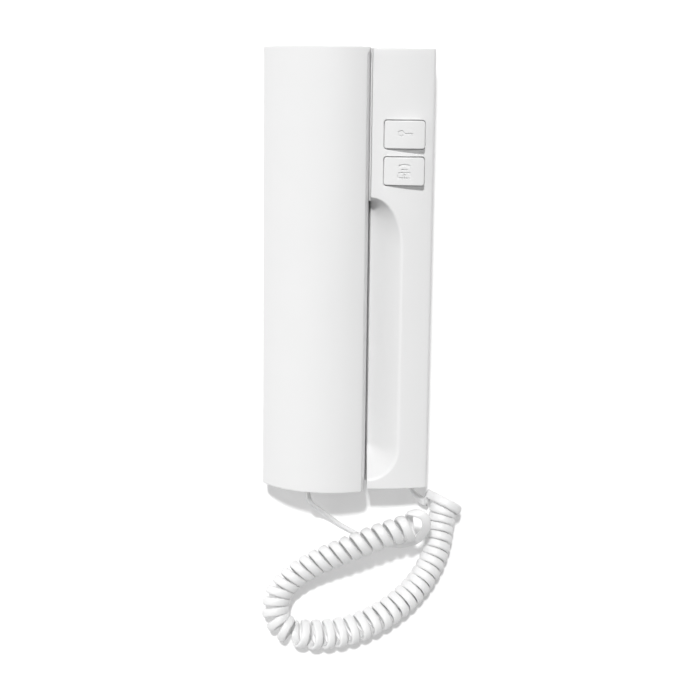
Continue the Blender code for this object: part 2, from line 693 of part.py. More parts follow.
def make_housing(finishes):
    outer = housing_outline(CONSOLE_EDGE_RADIUS)
    housing = prism("base_front_housing", outer, -BASE_END, BASE_END, finishes["shell"], "Y")
    smooth(housing, 25)
    inner_end = BASE_END - BASE_WALL
    section = opened(housing_outline(), BASE_WALL, HOUSING_BOTTOM - OVERCUT)
    hollow = prism("housing_hollow", section, -inner_end, inner_end, along="Y")
    cut(hollow, recess_cutter("recess_hollow", BASE_WALL))
    for i, (y, length) in enumerate(LOBES):
        outside = POCKET_CLEARANCE + BASE_WALL
        low = POCKET_FLOOR - BASE_WALL
        cut(hollow, lobe_block(f"pocket_wall_{i}", y, length, outside, low, DEPTH))
    cut(housing, hollow, recess_cutter("recess", 0))
    for i, (y, length) in enumerate(LOBES):
        top = CRADLE_HEIGHT + OVERCUT
        cut(housing, lobe_block(f"pocket_{i}", y, length, POCKET_CLEARANCE, POCKET_FLOOR, top))
    window = (BUTTON_WIDTH + 2 * CLEARANCE, BUTTON_HEIGHT + 2 * CLEARANCE)
    for name, y in (("door_window", DOOR_BUTTON_Y), ("call_window", CALL_BUTTON_Y)):
        outline = rounded_rectangle((BUTTON_X, y), window, BUTTON_CORNER + CLEARANCE, 3)
        low = CONSOLE_OUTER_HEIGHT - 2 * BASE_WALL
        cut(housing, prism(name, outline, low, DEPTH))
    slot_x = HOOK_NOSE_SIDE / 2 + HOOK_SLOT_CLEARANCE
    slot_low = (HOOK_X - slot_x, HOOK_NOSE_Y - slot_x, CRADLE_HEIGHT - BASE_WALL - OVERCUT)
    slot_high = (HOOK_X + slot_x, HOOK_NOSE_Y + slot_x, CRADLE_HEIGHT + OVERCUT)
    cut(housing, block("hook_slot", slot_low, slot_high))
    screw_z = housing_screw_height()
    ends = (-BASE_END - OVERCUT, -inner_end + OVERCUT)
    centre = (HANDSET_CENTRE_X, screw_z)
    cut(housing, rod("housing_hole", centre, SCREW_HOLE_RADIUS, *ends, along="Y", segments=16))
    seat = -BASE_END + HEAD_HOLE_DEPTH
    seat_ends = (-BASE_END - OVERCUT, seat)
    cut(housing, rod("housing_seat", centre, HEAD_HOLE_RADIUS, *seat_ends, along="Y", segments=16))
    lead_centre = (BASE_LEAD_X, BASE_LEAD_Z)
    cut(housing, rod("base_lead_hole", lead_centre, RELIEF_RADIUS + CLEARANCE, *ends, along="Y"))
    fastener = screw("housing_screw", (0, 0, 0), HOUSING_SCREW_LENGTH, finishes["steel"])
    fastener.rotation_euler = (-math.pi / 2, 0, 0)
    fastener.location = (HANDSET_CENTRE_X, seat - CLEARANCE / 3, screw_z)
    make_relief(
        "base_strain_relief", (BASE_LEAD_X, -BASE_END, BASE_LEAD_Z), BASE_WALL, finishes["cord"]
    )


def housing_screw_height():
    return (PLATE_THICKNESS + CRADLE_HEIGHT - BASE_WALL) / 2 + BASE_WALL / 2


def board_posts():
    xs = (BOARD_LEFT + BOARD_POST_INSET, BOARD_RIGHT - BOARD_POST_INSET)
    ys = (-BOARD_HALF + BOARD_POST_INSET, BOARD_HALF - BOARD_POST_INSET)
    return [(x, y) for x in xs for y in ys]


def make_back_plate(finishes):
    size = (RIGHT - BASE_LEFT - 2 * PLATE_INSET, 2 * (BASE_END - PLATE_INSET))
    centre = ((RIGHT + BASE_LEFT) / 2, 0)
    outline = rounded_rectangle(centre, size, BASE_CORNER, 4)
    plate = prism("base_back_plate", outline, 0, PLATE_THICKNESS, finishes["plate"])
    sunk = PLATE_THICKNESS / 2
    for i, centre in enumerate(board_posts()):
        top = BOARD_BOTTOM - CLEARANCE
        post = rod(f"post_{i}", centre, BOARD_POST_RADIUS, sunk, top, segments=16)
        join(plate, post)
    bracket_top = HOOK_PIVOT_HEIGHT + HOOK_HUB_RADIUS
    for side in (-1, 1):
        near = HOOK_X + side * HOOK_BRACKET_REACH
        far = near + side * BRACKET_THICKNESS
        low = (min(near, far), HOOK_PIVOT_Y - HOOK_HUB_RADIUS, sunk)
        high = (max(near, far), HOOK_PIVOT_Y + HOOK_HUB_RADIUS, bracket_top)
        join(plate, block(f"bracket_{side}", low, high))
    pin_hole = HOOK_PIN_RADIUS + HOOK_PIN_CLEARANCE
    reach = HOOK_BRACKET_REACH + BRACKET_THICKNESS + OVERCUT
    pivot = (HOOK_PIVOT_Y, HOOK_PIVOT_HEIGHT)
    ends = (HOOK_X - reach, HOOK_X + reach)
    cut(plate, rod("bracket_hole", pivot, pin_hole, *ends, along="X"))
    lug_outer = -BASE_END + BASE_WALL + CLEARANCE
    lug_top = CRADLE_HEIGHT - BASE_WALL - CLEARANCE
    lug_low = (HANDSET_CENTRE_X - LUG_WIDTH / 2, lug_outer, sunk)
    lug_high = (HANDSET_CENTRE_X + LUG_WIDTH / 2, lug_outer + LUG_THICKNESS, lug_top)
    join(plate, block("bottom_lug", lug_low, lug_high))
    hole_ends = (lug_outer - OVERCUT, lug_outer + LUG_THICKNESS + OVERCUT)
    centre = (HANDSET_CENTRE_X, housing_screw_height())
    cut(plate, rod("lug_hole", centre, SCREW_HOLE_RADIUS, *hole_ends, along="Y", segments=16))
    for side in (-1, 1):
        x = HANDSET_CENTRE_X + side * LUG_WIDTH
        low = (x - LUG_WIDTH / 4, -lug_outer - LUG_THICKNESS, sunk)
        high = (x + LUG_WIDTH / 4, -lug_outer, lug_top)
        join(plate, block(f"top_lug_{side}", low, high))
    for side in (-1, 1):
        centre = (WALL_HOLE_X, side * WALL_HOLE_SPACING / 2)
        ends = (-OVERCUT, PLATE_THICKNESS + OVERCUT)
        cut(plate, rod(f"wall_hole_{side}", centre, WALL_HOLE_RADIUS, *ends, segments=16))
    entry = rounded_rectangle(CABLE_ENTRY_CENTRE, CABLE_ENTRY, CABLE_ENTRY_CORNER, 4)
    cut(plate, prism("cable_entry", entry, -OVERCUT, PLATE_THICKNESS + OVERCUT))


def make_board(finishes):
    tongue_left = HOOK_X - HOOK_ARM_WIDTH / 2
    tongue_low = HOOK_NOSE_Y - HOOK_NOSE_SIDE / 2
    tongue_high = tongue_low + BOARD_TONGUE_WIDTH
    outline = [
        (BOARD_LEFT, -BOARD_HALF),
        (BOARD_RIGHT, -BOARD_HALF),
        (BOARD_RIGHT, BOARD_HALF),
        (BOARD_LEFT, BOARD_HALF),
        (BOARD_LEFT, tongue_high),
        (tongue_left, tongue_high),
        (tongue_left, tongue_low),
        (BOARD_LEFT, tongue_low),
    ]
    board = prism("circuit_board", outline, BOARD_BOTTOM, BOARD_TOP, finishes["board"])
    for i, centre in enumerate(board_posts()):
        ends = (BOARD_BOTTOM - OVERCUT, BOARD_TOP + OVERCUT)
        cut(board, rod(f"board_hole_{i}", centre, SCREW_HOLE_RADIUS, *ends, segments=16))
        pilot_low = PLATE_THICKNESS / 2
        pilot = rod(f"pilot_{i}", centre, SCREW_HOLE_RADIUS, pilot_low, BOARD_TOP, segments=16)
        cut(bpy.data.objects["base_back_plate"], pilot)
        length = BOARD_TOP - pilot_low
        fastener = screw(f"board_screw_{i + 1}", (0, 0, 0), length, finishes["steel"])
        fastener.rotation_euler = (math.pi, 0, 0)
        fastener.location = (*centre, BOARD_TOP + CLEARANCE)

    half_side = SWITCH_SIDE / 2
    for name, y in (("door_switch", DOOR_BUTTON_Y), ("call_switch", CALL_BUTTON_Y)):
        low = (BUTTON_X - half_side, y - half_side, PART_BOTTOM)
        high = (BUTTON_X + half_side, y + half_side, SWITCH_TOP)
        body = block(name, low, high, finishes["dark_plastic"])
        bore_low = SWITCH_TOP - STEM_BORE_DEPTH
        bore_radius = STEM_RADIUS + CLEARANCE
        cut(body, rod(f"{name}_bore", (BUTTON_X, y), bore_radius, bore_low, SWITCH_TOP + OVERCUT))
    switch_y = HOOK_NOSE_Y + HOOK_NOSE_SIDE
    low = (HOOK_X - half_side, switch_y - half_side, PART_BOTTOM)
    high = (HOOK_X + half_side, switch_y + half_side, HOOK_SWITCH_TOP)
    block("hook_switch", low, high, finishes["dark_plastic"])

    centre_x = (BOARD_LEFT + BOARD_RIGHT) / 2
    buzzer_top = PART_BOTTOM + BUZZER_HEIGHT
    centre = (centre_x, BASE_END - BUZZER_FROM_TOP)
    buzzer = rod(
        "ringer_buzzer", centre, BUZZER_RADIUS, PART_BOTTOM, buzzer_top, finishes["dark_plastic"]
    )
    port = rod("buzzer_port", centre, BUZZER_RADIUS / 5, buzzer_top - OVERCUT, DEPTH, segments=16)
    cut(buzzer, port)
    make_terminals(finishes)
    capacitor_x = BOARD_LEFT + 2 * CAPACITOR_RADIUS
    for i in range(2):
        y = -HOOK_NOSE_Y - CAPACITOR_PITCH * i
        top = PART_BOTTOM + CAPACITOR_HEIGHT
        rod(
            f"capacitor_{i + 1}",
            (capacitor_x, y),
            CAPACITOR_RADIUS,
            PART_BOTTOM,
            top,
            finishes["dark_plastic"],
        )
    w, h, t = TRANSISTOR_SIZE
    y = -HOOK_NOSE_Y - 2 * CAPACITOR_PITCH
    low = (capacitor_x - w / 2, y - h / 2, PART_BOTTOM)
    block(
        "transistor",
        low,
        (capacitor_x + w / 2, y + h / 2, PART_BOTTOM + t),
        finishes["dark_plastic"],
    )


def make_terminals(finishes):
    right = BOARD_RIGHT - CLEARANCE
    left = right - TERMINAL_WIDTH
    start = -BASE_END + TERMINAL_FROM_BOTTOM
    length = TERMINAL_POLES * TERMINAL_PITCH
    top = PART_BOTTOM + TERMINAL_HEIGHT
    terminal = block(
        "terminal_block", (left, start, PART_BOTTOM), (right, start + length, top), finishes["terminal"]
    )
    bore_bottom = PART_BOTTOM + TERMINAL_HEIGHT / 2
    screw_radius = TERMINAL_PITCH * 0.32
    for i in range(TERMINAL_POLES):
        y = start + TERMINAL_PITCH * (i + 0.5)
        centre = ((left + right) / 2, y)
        bore = rod(
            f"terminal_bore_{i}",
            centre,
            screw_radius + CLEARANCE,
            bore_bottom,
            top + OVERCUT,
            segments=16,
        )
        wire = (y, PART_BOTTOM + TERMINAL_HEIGHT / 4)
        wire_radius = TERMINAL_PITCH / 4
        mouth = rod(
            f"wire_hole_{i}",
            wire,
            wire_radius,
            left - OVERCUT,
            right - OVERCUT,
            along="X",
            segments=12,
        )
        cut(terminal, bore, mouth)
        rod(
            f"terminal_screw_{i + 1}",
            centre,
            screw_radius,
            bore_bottom + CLEARANCE,
            top - OVERCUT / 2,
            finishes["steel"],
            segments=16,
        )


def button_height(x):
    """Height of a key's crowned face above the wall."""
    half = BUTTON_WIDTH / 2
    share = (x - BUTTON_X) / half
    left = console_height(BUTTON_X - half) + BUTTON_PROUD_LEFT
    right = console_height(BUTTON_X + half) + BUTTON_PROUD_RIGHT
    return left + (right - left) * (share + 1) / 2 + BUTTON_CROWN * (1 - share**2)


def make_button(name, stem_name, y, finishes):
    """Key with a lip behind the console's face and a plunger down to its switch."""
    half_width = BUTTON_WIDTH / 2
    half_height = BUTTON_HEIGHT / 2
    lip_top_gap = BASE_WALL + CLEARANCE
    xs = [BUTTON_X + half_width * (i / 4 - 1) for i in range(9)]
    face = [(x, button_height(x)) for x in xs]
    lowest = console_height(BUTTON_X + half_width + BUTTON_LIP) - lip_top_gap
    cap_bottom = lowest - BUTTON_LIP_THICKNESS
    outline = [(xs[0], cap_bottom), (xs[-1], cap_bottom), *reversed(face)]
    ends = (y - half_height, y + half_height)
    button = prism(name, outline, *ends, finishes["key"], "Y")
    smooth(button, 25)
    corner_size = (BUTTON_WIDTH, BUTTON_HEIGHT)
    corners = rounded_rectangle((BUTTON_X, y), corner_size, BUTTON_CORNER, 4)
    boolean(button, prism(f"{name}_corners", corners, 0, DEPTH), "INTERSECT")
    lip = BUTTON_LIP
    left = BUTTON_X - half_width - lip
    right = BUTTON_X + half_width + lip
    lip_outline = [
        (left, cap_bottom),
        (right, cap_bottom),
        (right, console_height(right) - lip_top_gap),
        (left, console_height(left) - lip_top_gap - CLEARANCE),
    ]
    lip_ends = (ends[0] - lip, ends[1] + lip)
    join(button, prism(f"{name}_lip", lip_outline, *lip_ends, along="Y"))
    plunger_bottom = STEM_TOP + CLEARANCE
    centre = (BUTTON_X, y)
    plunger_top = cap_bottom + BUTTON_LIP_THICKNESS / 2
    join(button, rod(f"{name}_plunger", centre, PLUNGER_RADIUS, plunger_bottom, plunger_top))
    stem_bottom = SWITCH_TOP - STEM_SUNK
    rod(stem_name, centre, STEM_RADIUS, stem_bottom, STEM_TOP, finishes["stem"])


def make_hook(finishes):
    half = HOOK_ARM_WIDTH / 2
    nose = HOOK_NOSE_SIDE / 2
    pivot = Vector((HOOK_X, HOOK_PIVOT_Y, HOOK_PIVOT_HEIGHT))
    tine_root = HOOK_PIVOT_Y - 2 * HOOK_HUB_RADIUS
    arm_top = HOOK_ARM_BOTTOM + HOOK_ARM_THICKNESS
    low = (HOOK_X - half, HOOK_NOSE_Y - nose, HOOK_ARM_BOTTOM)
    high = (HOOK_X + half, tine_root, arm_top)
    lever = block("hook_lever", low, high, finishes["plate"])
    nose_low = (HOOK_X - nose, HOOK_NOSE_Y - nose, HOOK_ARM_BOTTOM + HOOK_ARM_THICKNESS / 2)
    nose_high = (HOOK_X + nose, HOOK_NOSE_Y + nose, CRADLE_HEIGHT)
    join(lever, block("hook_nose", nose_low, nose_high))
    for side in (-1, 1):
        inner = HOOK_X + side * (half - HOOK_TINE_WIDTH)
        outer = HOOK_X + side * half
        near = (tine_root - HOOK_HUB_RADIUS, HOOK_PIVOT_HEIGHT - HOOK_HUB_RADIUS)
        far = (HOOK_PIVOT_Y + HOOK_HUB_RADIUS, HOOK_PIVOT_HEIGHT + HOOK_HUB_RADIUS)
        low = (min(inner, outer), *near)
        high = (max(inner, outer), *far)
        join(lever, block(f"hook_tine_{side}", low, high))
    hole = HOOK_PIN_RADIUS + HOOK_PIN_CLEARANCE
    ends = (HOOK_X - half - OVERCUT, HOOK_X + half + OVERCUT)
    centre = (HOOK_PIVOT_Y, HOOK_PIVOT_HEIGHT)
    cut(lever, rod("hook_hole", centre, hole, *ends, along="X"))
    reach = HOOK_BRACKET_REACH + BRACKET_THICKNESS
    ends = (HOOK_X - reach, HOOK_X + reach)
    rod("hook_pin", centre, HOOK_PIN_RADIUS, *ends, finishes["steel"], along="X")
    make_spring(pivot, finishes)


def make_spring(pivot, finishes):
    """Torsion spring round the pin, with one leg under the arm and one on the back plate."""
    radius = HOOK_PIN_RADIUS + HOOK_PIN_CLEARANCE + SPRING_WIRE
    steps = 12
    count = round(SPRING_TURNS * steps)
    length = SPRING_PITCH * SPRING_TURNS
    points = []
    for i in range(count + 1):
        angle = 2 * math.pi * i / steps
        x = pivot.x - length / 2 + length * i / count
        y = pivot.y + radius * math.sin(angle)
        points.append((x, y, pivot.z + radius * math.cos(angle)))
    leg = radius * 1.6
    points.insert(0, (points[0][0], pivot.y - leg, points[0][2]))
    points.append((points[-1][0], pivot.y - leg, points[-1][2]))
    curve = bpy.data.curves.new("hook_spring", "CURVE")
    curve.dimensions = "3D"
    curve.bevel_depth = SPRING_WIRE / 2
    curve.bevel_resolution = 1
    curve.use_fill_caps = True
    spline = curve.splines.new("POLY")
    spline.points.add(len(points) - 1)
    for point, place in zip(spline.points, points):
        point.co = (*place, 1)
    spring = bpy.data.objects.new("hook_spring", curve)
    curve.materials.append(finishes["steel"])
    bpy.context.scene.collection.objects.link(spring)


def smooth_path(points, step):
    """Evenly spaced points on a centripetal Catmull-Rom curve through the given ones."""
    p = np.array(points, float)
    p = np.vstack([2 * p[0] - p[1], p, 2 * p[-1] - p[-2]])
    fine = []
    for a, b, c, d in zip(p, p[1:], p[2:], p[3:]):
        t1 = math.sqrt(np.linalg.norm(b - a))
        t2 = t1 + math.sqrt(np.linalg.norm(c - b))
        t3 = t2 + math.sqrt(np.linalg.norm(d - c))
        for t in np.linspace(t1, t2, 24, endpoint=False):
            a1 = (t1 - t) / t1 * a + t / t1 * b
            a2 = (t2 - t) / (t2 - t1) * b + (t - t1) / (t2 - t1) * c
            a3 = (t3 - t) / (t3 - t2) * c + (t - t2) / (t3 - t2) * d
            b1 = (t2 - t) / t2 * a1 + t / t2 * a2
            b2 = (t3 - t) / (t3 - t1) * a2 + (t - t1) / (t3 - t1) * a3
            fine.append((t2 - t) / (t2 - t1) * b1 + (t - t1) / (t2 - t1) * b2)
    fine.append(p[-2])
    return evenly(np.array(fine), step)


def evenly(line, step):
    travelled = np.concatenate([[0], np.cumsum(np.linalg.norm(np.diff(line, axis=0), axis=1))])
    count = max(2, round(travelled[-1] / step))
    places = np.linspace(0, travelled[-1], count + 1)
    return np.stack([np.interp(places, travelled, line[:, i]) for i in range(3)], axis=1)


def unit(vectors):
    return vectors / np.linalg.norm(vectors, axis=-1, keepdims=True)


def cord_rings(line, across):
    """Six-sided flat sections along a line; across points along the section's wide side."""
    heading = unit(np.gradient(line, axis=0))
    heading[0] = unit(line[1] - line[0])
    heading[-1] = unit(line[-1] - line[-2])
    wide = unit(across - np.sum(across * heading, axis=1, keepdims=True) * heading)
    thick = np.cross(heading, wide)
    flat = CORD_WIDTH / 2 - CORD_THICKNESS / 3
    section = (
        (CORD_WIDTH / 2, 0),
        (flat, CORD_THICKNESS / 2),
        (-flat, CORD_THICKNESS / 2),
        (-CORD_WIDTH / 2, 0),
        (-flat, -CORD_THICKNESS / 2),
        (flat, -CORD_THICKNESS / 2),
    )
    return np.stack([line + wide * w + thick * t for w, t in section], axis=1)


def make_cord(name, rings, finish):
    bm = bmesh.new()
    made = [[bm.verts.new(tuple(point)) for point in ring] for ring in rings]
    for first, second in zip(made, made[1:]):
        for i in range(len(first)):
            bm.faces.new((first[i - 1], first[i], second[i], second[i - 1]))
    bm.faces.new(made[0])
    bm.faces.new(made[-1])
    return smooth(add_mesh(name, bm, finish), 50)


def coil_line():
    """Centre line of the curly cord and the direction of its wide side at each point.

    The winding changes hand half way along, where the coil turns back, and its turns lean.
    """
    axis = smooth_path(COIL_AXIS, 0.0005)
    flat = unit(unit(np.gradient(axis, axis=0)) * (1, 1, 0))
    side = np.cross((0, 0, 1), flat)
    gone = distance(axis)
    share = gone / gone[-1]
    places, *profiles = zip(*COIL_WINDING)
    pitch, forward, left = (np.interp(share, places, values) for values in profiles)
    reversal = ease((share - COIL_REVERSAL) / COIL_REVERSAL_LENGTH + 0.5)
    rate = 2 * math.pi / pitch * (1 - 2 * reversal)
    turned = np.concatenate([[0], np.cumsum((rate[1:] + rate[:-1]) / 2 * np.diff(gone))])
    peak = int(np.argmax(turned))
    unwound = turned[peak] - turned[-1]
    target = COIL_START_ANGLE + turned[peak] - COIL_END_ANGLE
    whole = 2 * math.pi * round((target - unwound) / (2 * math.pi))
    stretch = (target - whole) / unwound
    turned[peak:] = turned[peak] - (turned[peak] - turned[peak:]) * stretch
    angles = COIL_START_ANGLE + turned
    travelled = gone / pitch.mean() * CURL_POINTS + distance(np.column_stack([angles])) * (
        CURL_POINTS / (2 * math.pi)
    )
    count = round(travelled[-1] / 2)
    places = np.interp(np.linspace(0, travelled[-1], count + 1), travelled, share)

    def at(values):
        return np.stack([np.interp(places, share, column) for column in values.T], axis=1)

    angle = np.interp(places, share, angles)[:, None]
    wound = np.abs(angle - angle[0]) / (2 * math.pi)
    unfinished = np.abs(angle[-1] - angle) / (2 * math.pi)
    radius = CURL_RADIUS + np.where(
        places[:, None] < 0.5,
        (CURL_START_RADIUS - CURL_RADIUS) * flare(wound),
        (CURL_END_RADIUS - CURL_RADIUS) * flare(unfinished),
    )
    rise = (0, 0, 1) + flat * forward[:, None] + side * left[:, None]
    line = at(axis) + radius * (at(side) * np.cos(angle) + at(rise) * np.sin(angle))
    return line, unit(np.cross(at(side), at(rise)))


def distance(line):
    """Distance travelled along a line, at each of its points."""
    return np.concatenate([[0], np.cumsum(np.linalg.norm(np.diff(line, axis=0), axis=1))])


def ease(value):
    """Eases from 0 to 1, flat at both ends."""
    share = np.clip(value, 0, 1)
    return share * share * (3 - 2 * share)


def flare(turns):
    """1 at the end of the coil, easing to 0 a little over one turn in."""
    return ease(1 - turns / CURL_FLARE_TURNS)


def extended(line, across):
    """Adds a straight run at each end."""
    start = line[0] - unit(line[1] - line[0]) * CURL_RUN_IN
    end = line[-1] + unit(line[-1] - line[-2]) * CORD_WIDTH
    line = np.vstack([start, line, end])
    return line, np.vstack([across[:1], across, across[-1:]])


def least_gap(rings):
    """Smallest distance between the cord's own turns, measured on points of its surface."""
    middles = (rings + np.roll(rings, 1, axis=1)) / 2
    surface = np.concatenate([rings, middles], axis=1)
    surface = np.concatenate([surface, (surface + np.roll(surface, 1, axis=0)) / 2], axis=1)[1:]
    least = math.inf
    apart = CURL_POINTS // 2
    for i in range(len(surface) - apart):
        ahead = surface[i + apart : i + 3 * CURL_POINTS].reshape(-1, 3)
        gaps = np.linalg.norm(surface[i][:, None] - ahead[None], axis=2)
        least = min(least, gaps.min())
    return least


def make_cords(finishes):
    coil, coil_across = extended(*coil_line())
    coil_rings = cord_rings(coil, coil_across)
    make_cord("curly_cord", coil_rings, finishes["cord"])
    print(f"curly_cord: least gap to itself {least_gap(coil_rings) * 1000:.2f} mm")

    out_of_end = np.array((0, -1.0, 0))
    upright = np.array((0, 0, 1.0))

    tip = np.array((HANDSET_LEAD_X, -HANDSET_END - RELIEF_PROUD - CLEARANCE, HANDSET_LEAD_Z))
    heading = unit(coil[1] - coil[0])
    end = coil[0] - heading * 3 * CLEARANCE
    route = [tip, tip + out_of_end * CORD_WIDTH, *HANDSET_LEAD_ROUTE]
    route += [end - heading * CURL_RUN_IN, end]
    line = smooth_path(route, CORD_WIDTH / 4)
    share = np.linspace(0, 1, len(line))[:, None]
    lying = np.interp(share, *zip(*HANDSET_LEAD_LIE))
    joined = ease((share - 0.85) / 0.15)
    level = unit(np.cross(np.gradient(line, axis=0), upright))
    across = (1 - joined) * (lying * level - (1 - lying) * upright) - joined * coil_across[0]
    make_cord("handset_lead", cord_rings(line, across), finishes["cord"])

    tip = np.array((BASE_LEAD_X, -BASE_END - RELIEF_PROUD - CLEARANCE, BASE_LEAD_Z))
    heading = unit(coil[-1] - coil[-2])
    start = coil[-1] + heading * 2 * CLEARANCE
    route = [start, start + heading * CURL_RUN_IN, *BASE_LEAD_ROUTE]
    route += [tip + out_of_end * CORD_WIDTH, tip]
    line = smooth_path(route, CORD_WIDTH / 4)
    share = np.linspace(0, 1, len(line))[:, None]
    across = (1 - share) * coil_across[-1] + share * upright
    make_cord("base_lead", cord_rings(line, across), finishes["cord"])


def main():
    clear_scene()
    finishes = {
        "shell": material("white_plastic", "EDEDEC", 0.38),
        "key": material("white_key", "F2F2F1", 0.35),
        "cord": material("white_cord", "F0F0EE", 0.5),
        "plate": material("grey_white_plastic", "DADAD8", 0.55),
        "board": material("board_green", "2E6B3E", 0.5),
        "dark_plastic": material("black_plastic", "1F1F21", 0.5),
        "terminal": material("terminal_green", "2F8A57", 0.5),
        "stem": material("stem_plastic", "C8B89A", 0.5),
        "rubber": material("black_rubber", "18181A", 0.8),
        "steel": material("zinc_steel", "B9BCC0", 0.35, 1.0),
    }
    make_handset(finishes)
    make_housing(finishes)
    make_back_plate(finishes)
    make_board(finishes)
    make_button("door_button", "door_switch_stem", DOOR_BUTTON_Y, finishes)
    make_button("call_button", "call_switch_stem", CALL_BUTTON_Y, finishes)
    make_hook(finishes)
    make_cords(finishes)


main()
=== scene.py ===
"""Dressed model of a slimline door-entry wall phone, lying on its back.

Everything is in metres, in the frame of the CAD: +Z out of the phone's face,
+Y towards its top and +X to its right. The origin is the middle of the flat
back that lies against the wall.
"""

from __future__ import annotations

import logging
import math
from dataclasses import dataclass, field
from enum import Enum
from functools import cache
from typing import ClassVar, Sequence

import bmesh
import bpy
import numpy as np
from mathutils import Matrix, Vector


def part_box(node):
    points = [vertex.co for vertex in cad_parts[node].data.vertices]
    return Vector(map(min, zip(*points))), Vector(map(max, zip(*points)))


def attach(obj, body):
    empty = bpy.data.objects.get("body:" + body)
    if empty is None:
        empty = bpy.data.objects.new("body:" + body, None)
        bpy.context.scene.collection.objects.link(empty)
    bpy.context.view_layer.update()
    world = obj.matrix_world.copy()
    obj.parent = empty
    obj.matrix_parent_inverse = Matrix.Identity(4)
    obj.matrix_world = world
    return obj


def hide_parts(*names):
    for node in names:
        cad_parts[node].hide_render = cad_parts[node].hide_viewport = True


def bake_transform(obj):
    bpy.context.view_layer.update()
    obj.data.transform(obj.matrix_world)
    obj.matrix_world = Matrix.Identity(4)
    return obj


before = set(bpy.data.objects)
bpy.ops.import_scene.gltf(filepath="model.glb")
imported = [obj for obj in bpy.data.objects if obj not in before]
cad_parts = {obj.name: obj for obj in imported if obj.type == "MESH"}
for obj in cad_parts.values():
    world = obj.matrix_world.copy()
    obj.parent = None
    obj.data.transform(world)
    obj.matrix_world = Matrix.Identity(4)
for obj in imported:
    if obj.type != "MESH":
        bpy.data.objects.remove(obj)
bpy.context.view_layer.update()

LOG = logging.getLogger("wall_phone")

MM = 0.001
TURN = 2 * math.pi
GAP = 0.3 * MM  # moulding clearance between pieces that meet
OVERCUT = 1.0 * MM  # how far a cutter runs past the face that it opens
SCREW_HOLE = 1.4 * MM  # radius of a screw's hole
SEAT_RADIUS = 2.7 * MM  # radius and depth of the seat of its head
SEAT_DEPTH = 1.15 * MM
BUSH_HOLE = 3.3 * MM  # radius of the hole for a cord's bush

# Signs of x and y at a plan's corners, anticlockwise from the upper right
PLAN_CORNERS = ((1, 1), (-1, 1), (-1, -1), (1, -1))


class Body(Enum):
    """The bodies that pieces ride on."""

    BASE = "base"
    HANDSET = "handset"
    DOOR_BUTTON = "door_button"
    CALL_BUTTON = "call_button"


class Slot(Enum):
    """The record's material slots."""

    SHELL = "white_plastic"
    KEY = "white_key"
    CORD = "white_cord"
    PLATE = "grey_white_plastic"
    BOARD = "board_green"
    BLACK = "black_plastic"
    TERMINAL = "terminal_green"
    STEM = "stem_plastic"
    RUBBER = "black_rubber"
    STEEL = "zinc_steel"


# Finishes


def linear(code: str) -> tuple[float, float, float, float]:
    """Turns an sRGB hex colour of six digits into linear RGBA with an alpha of 1."""
    channels = [int(code[i : i + 2], 16) / 255 for i in (0, 2, 4)]
    red, green, blue = (
        c / 12.92 if c <= 0.04045 else ((c + 0.055) / 1.055) ** 2.4 for c in channels
    )
    return red, green, blue, 1.0


def wire(node: bpy.types.Node, inputs: dict[str | int, object]) -> None:
    """Sets a node's sockets.

    Args:
        node: The node.
        inputs: For each socket a value, an output, or a node for its first output.
    """
    for socket, value in inputs.items():
        if isinstance(value, bpy.types.Node):
            value = value.outputs[0]
        if isinstance(value, bpy.types.NodeSocket):
            node.id_data.links.new(value, node.inputs[socket])
        else:
            node.inputs[socket].default_value = value


def add_node(
    tree: bpy.types.NodeTree,
    kind: str,
    inputs: dict[str | int, object] | None = None,
    **settings: object,
) -> bpy.types.Node:
    """Adds a node with its settings and its links.

    Args:
        tree: The tree that takes the node.
        kind: Blender's name for the node's type.
        inputs: What its sockets take.
        **settings: Properties of the node itself.

    Returns:
        The new node.
    """
    node = tree.nodes.new(kind)
    for name, value in settings.items():
        setattr(node, name, value)
    wire(node, inputs or {})
    return node


def new_finish(
    name: str,
) -> tuple[bpy.types.Material, bpy.types.NodeTree, bpy.types.Node]:
    """Starts a material, and gives it with its node tree and its shader."""
    material = bpy.data.materials.new(name)
    material.use_nodes = True
    tree = material.node_tree
    return material, tree, tree.nodes["Principled BSDF"]


def colour_and_relief(
    shader: bpy.types.Node,
    blend: bpy.types.Node,
    colours: tuple[str, str],
    relief: bpy.types.Node,
    depth: float,
) -> None:
    """Gives a shader a colour that varies between two, and a fine relief.

    Args:
        shader: The shader.
        blend: The pattern that the colours follow.
        colours: The colours' hex codes.
        relief: The pattern of the relief.
        depth: The relief's depth.
    """
    tree = shader.id_data
    ends = {6: linear(colours[0]), 7: linear(colours[1])}
    tone = add_node(tree, "ShaderNodeMix", {0: blend, **ends}, data_type="RGBA")
    raised = {"Height": relief, "Distance": depth, "Strength": 1.0}
    bump = add_node(tree, "ShaderNodeBump", raised)
    wire(shader, {"Base Color": tone.outputs[2], "Normal": bump})


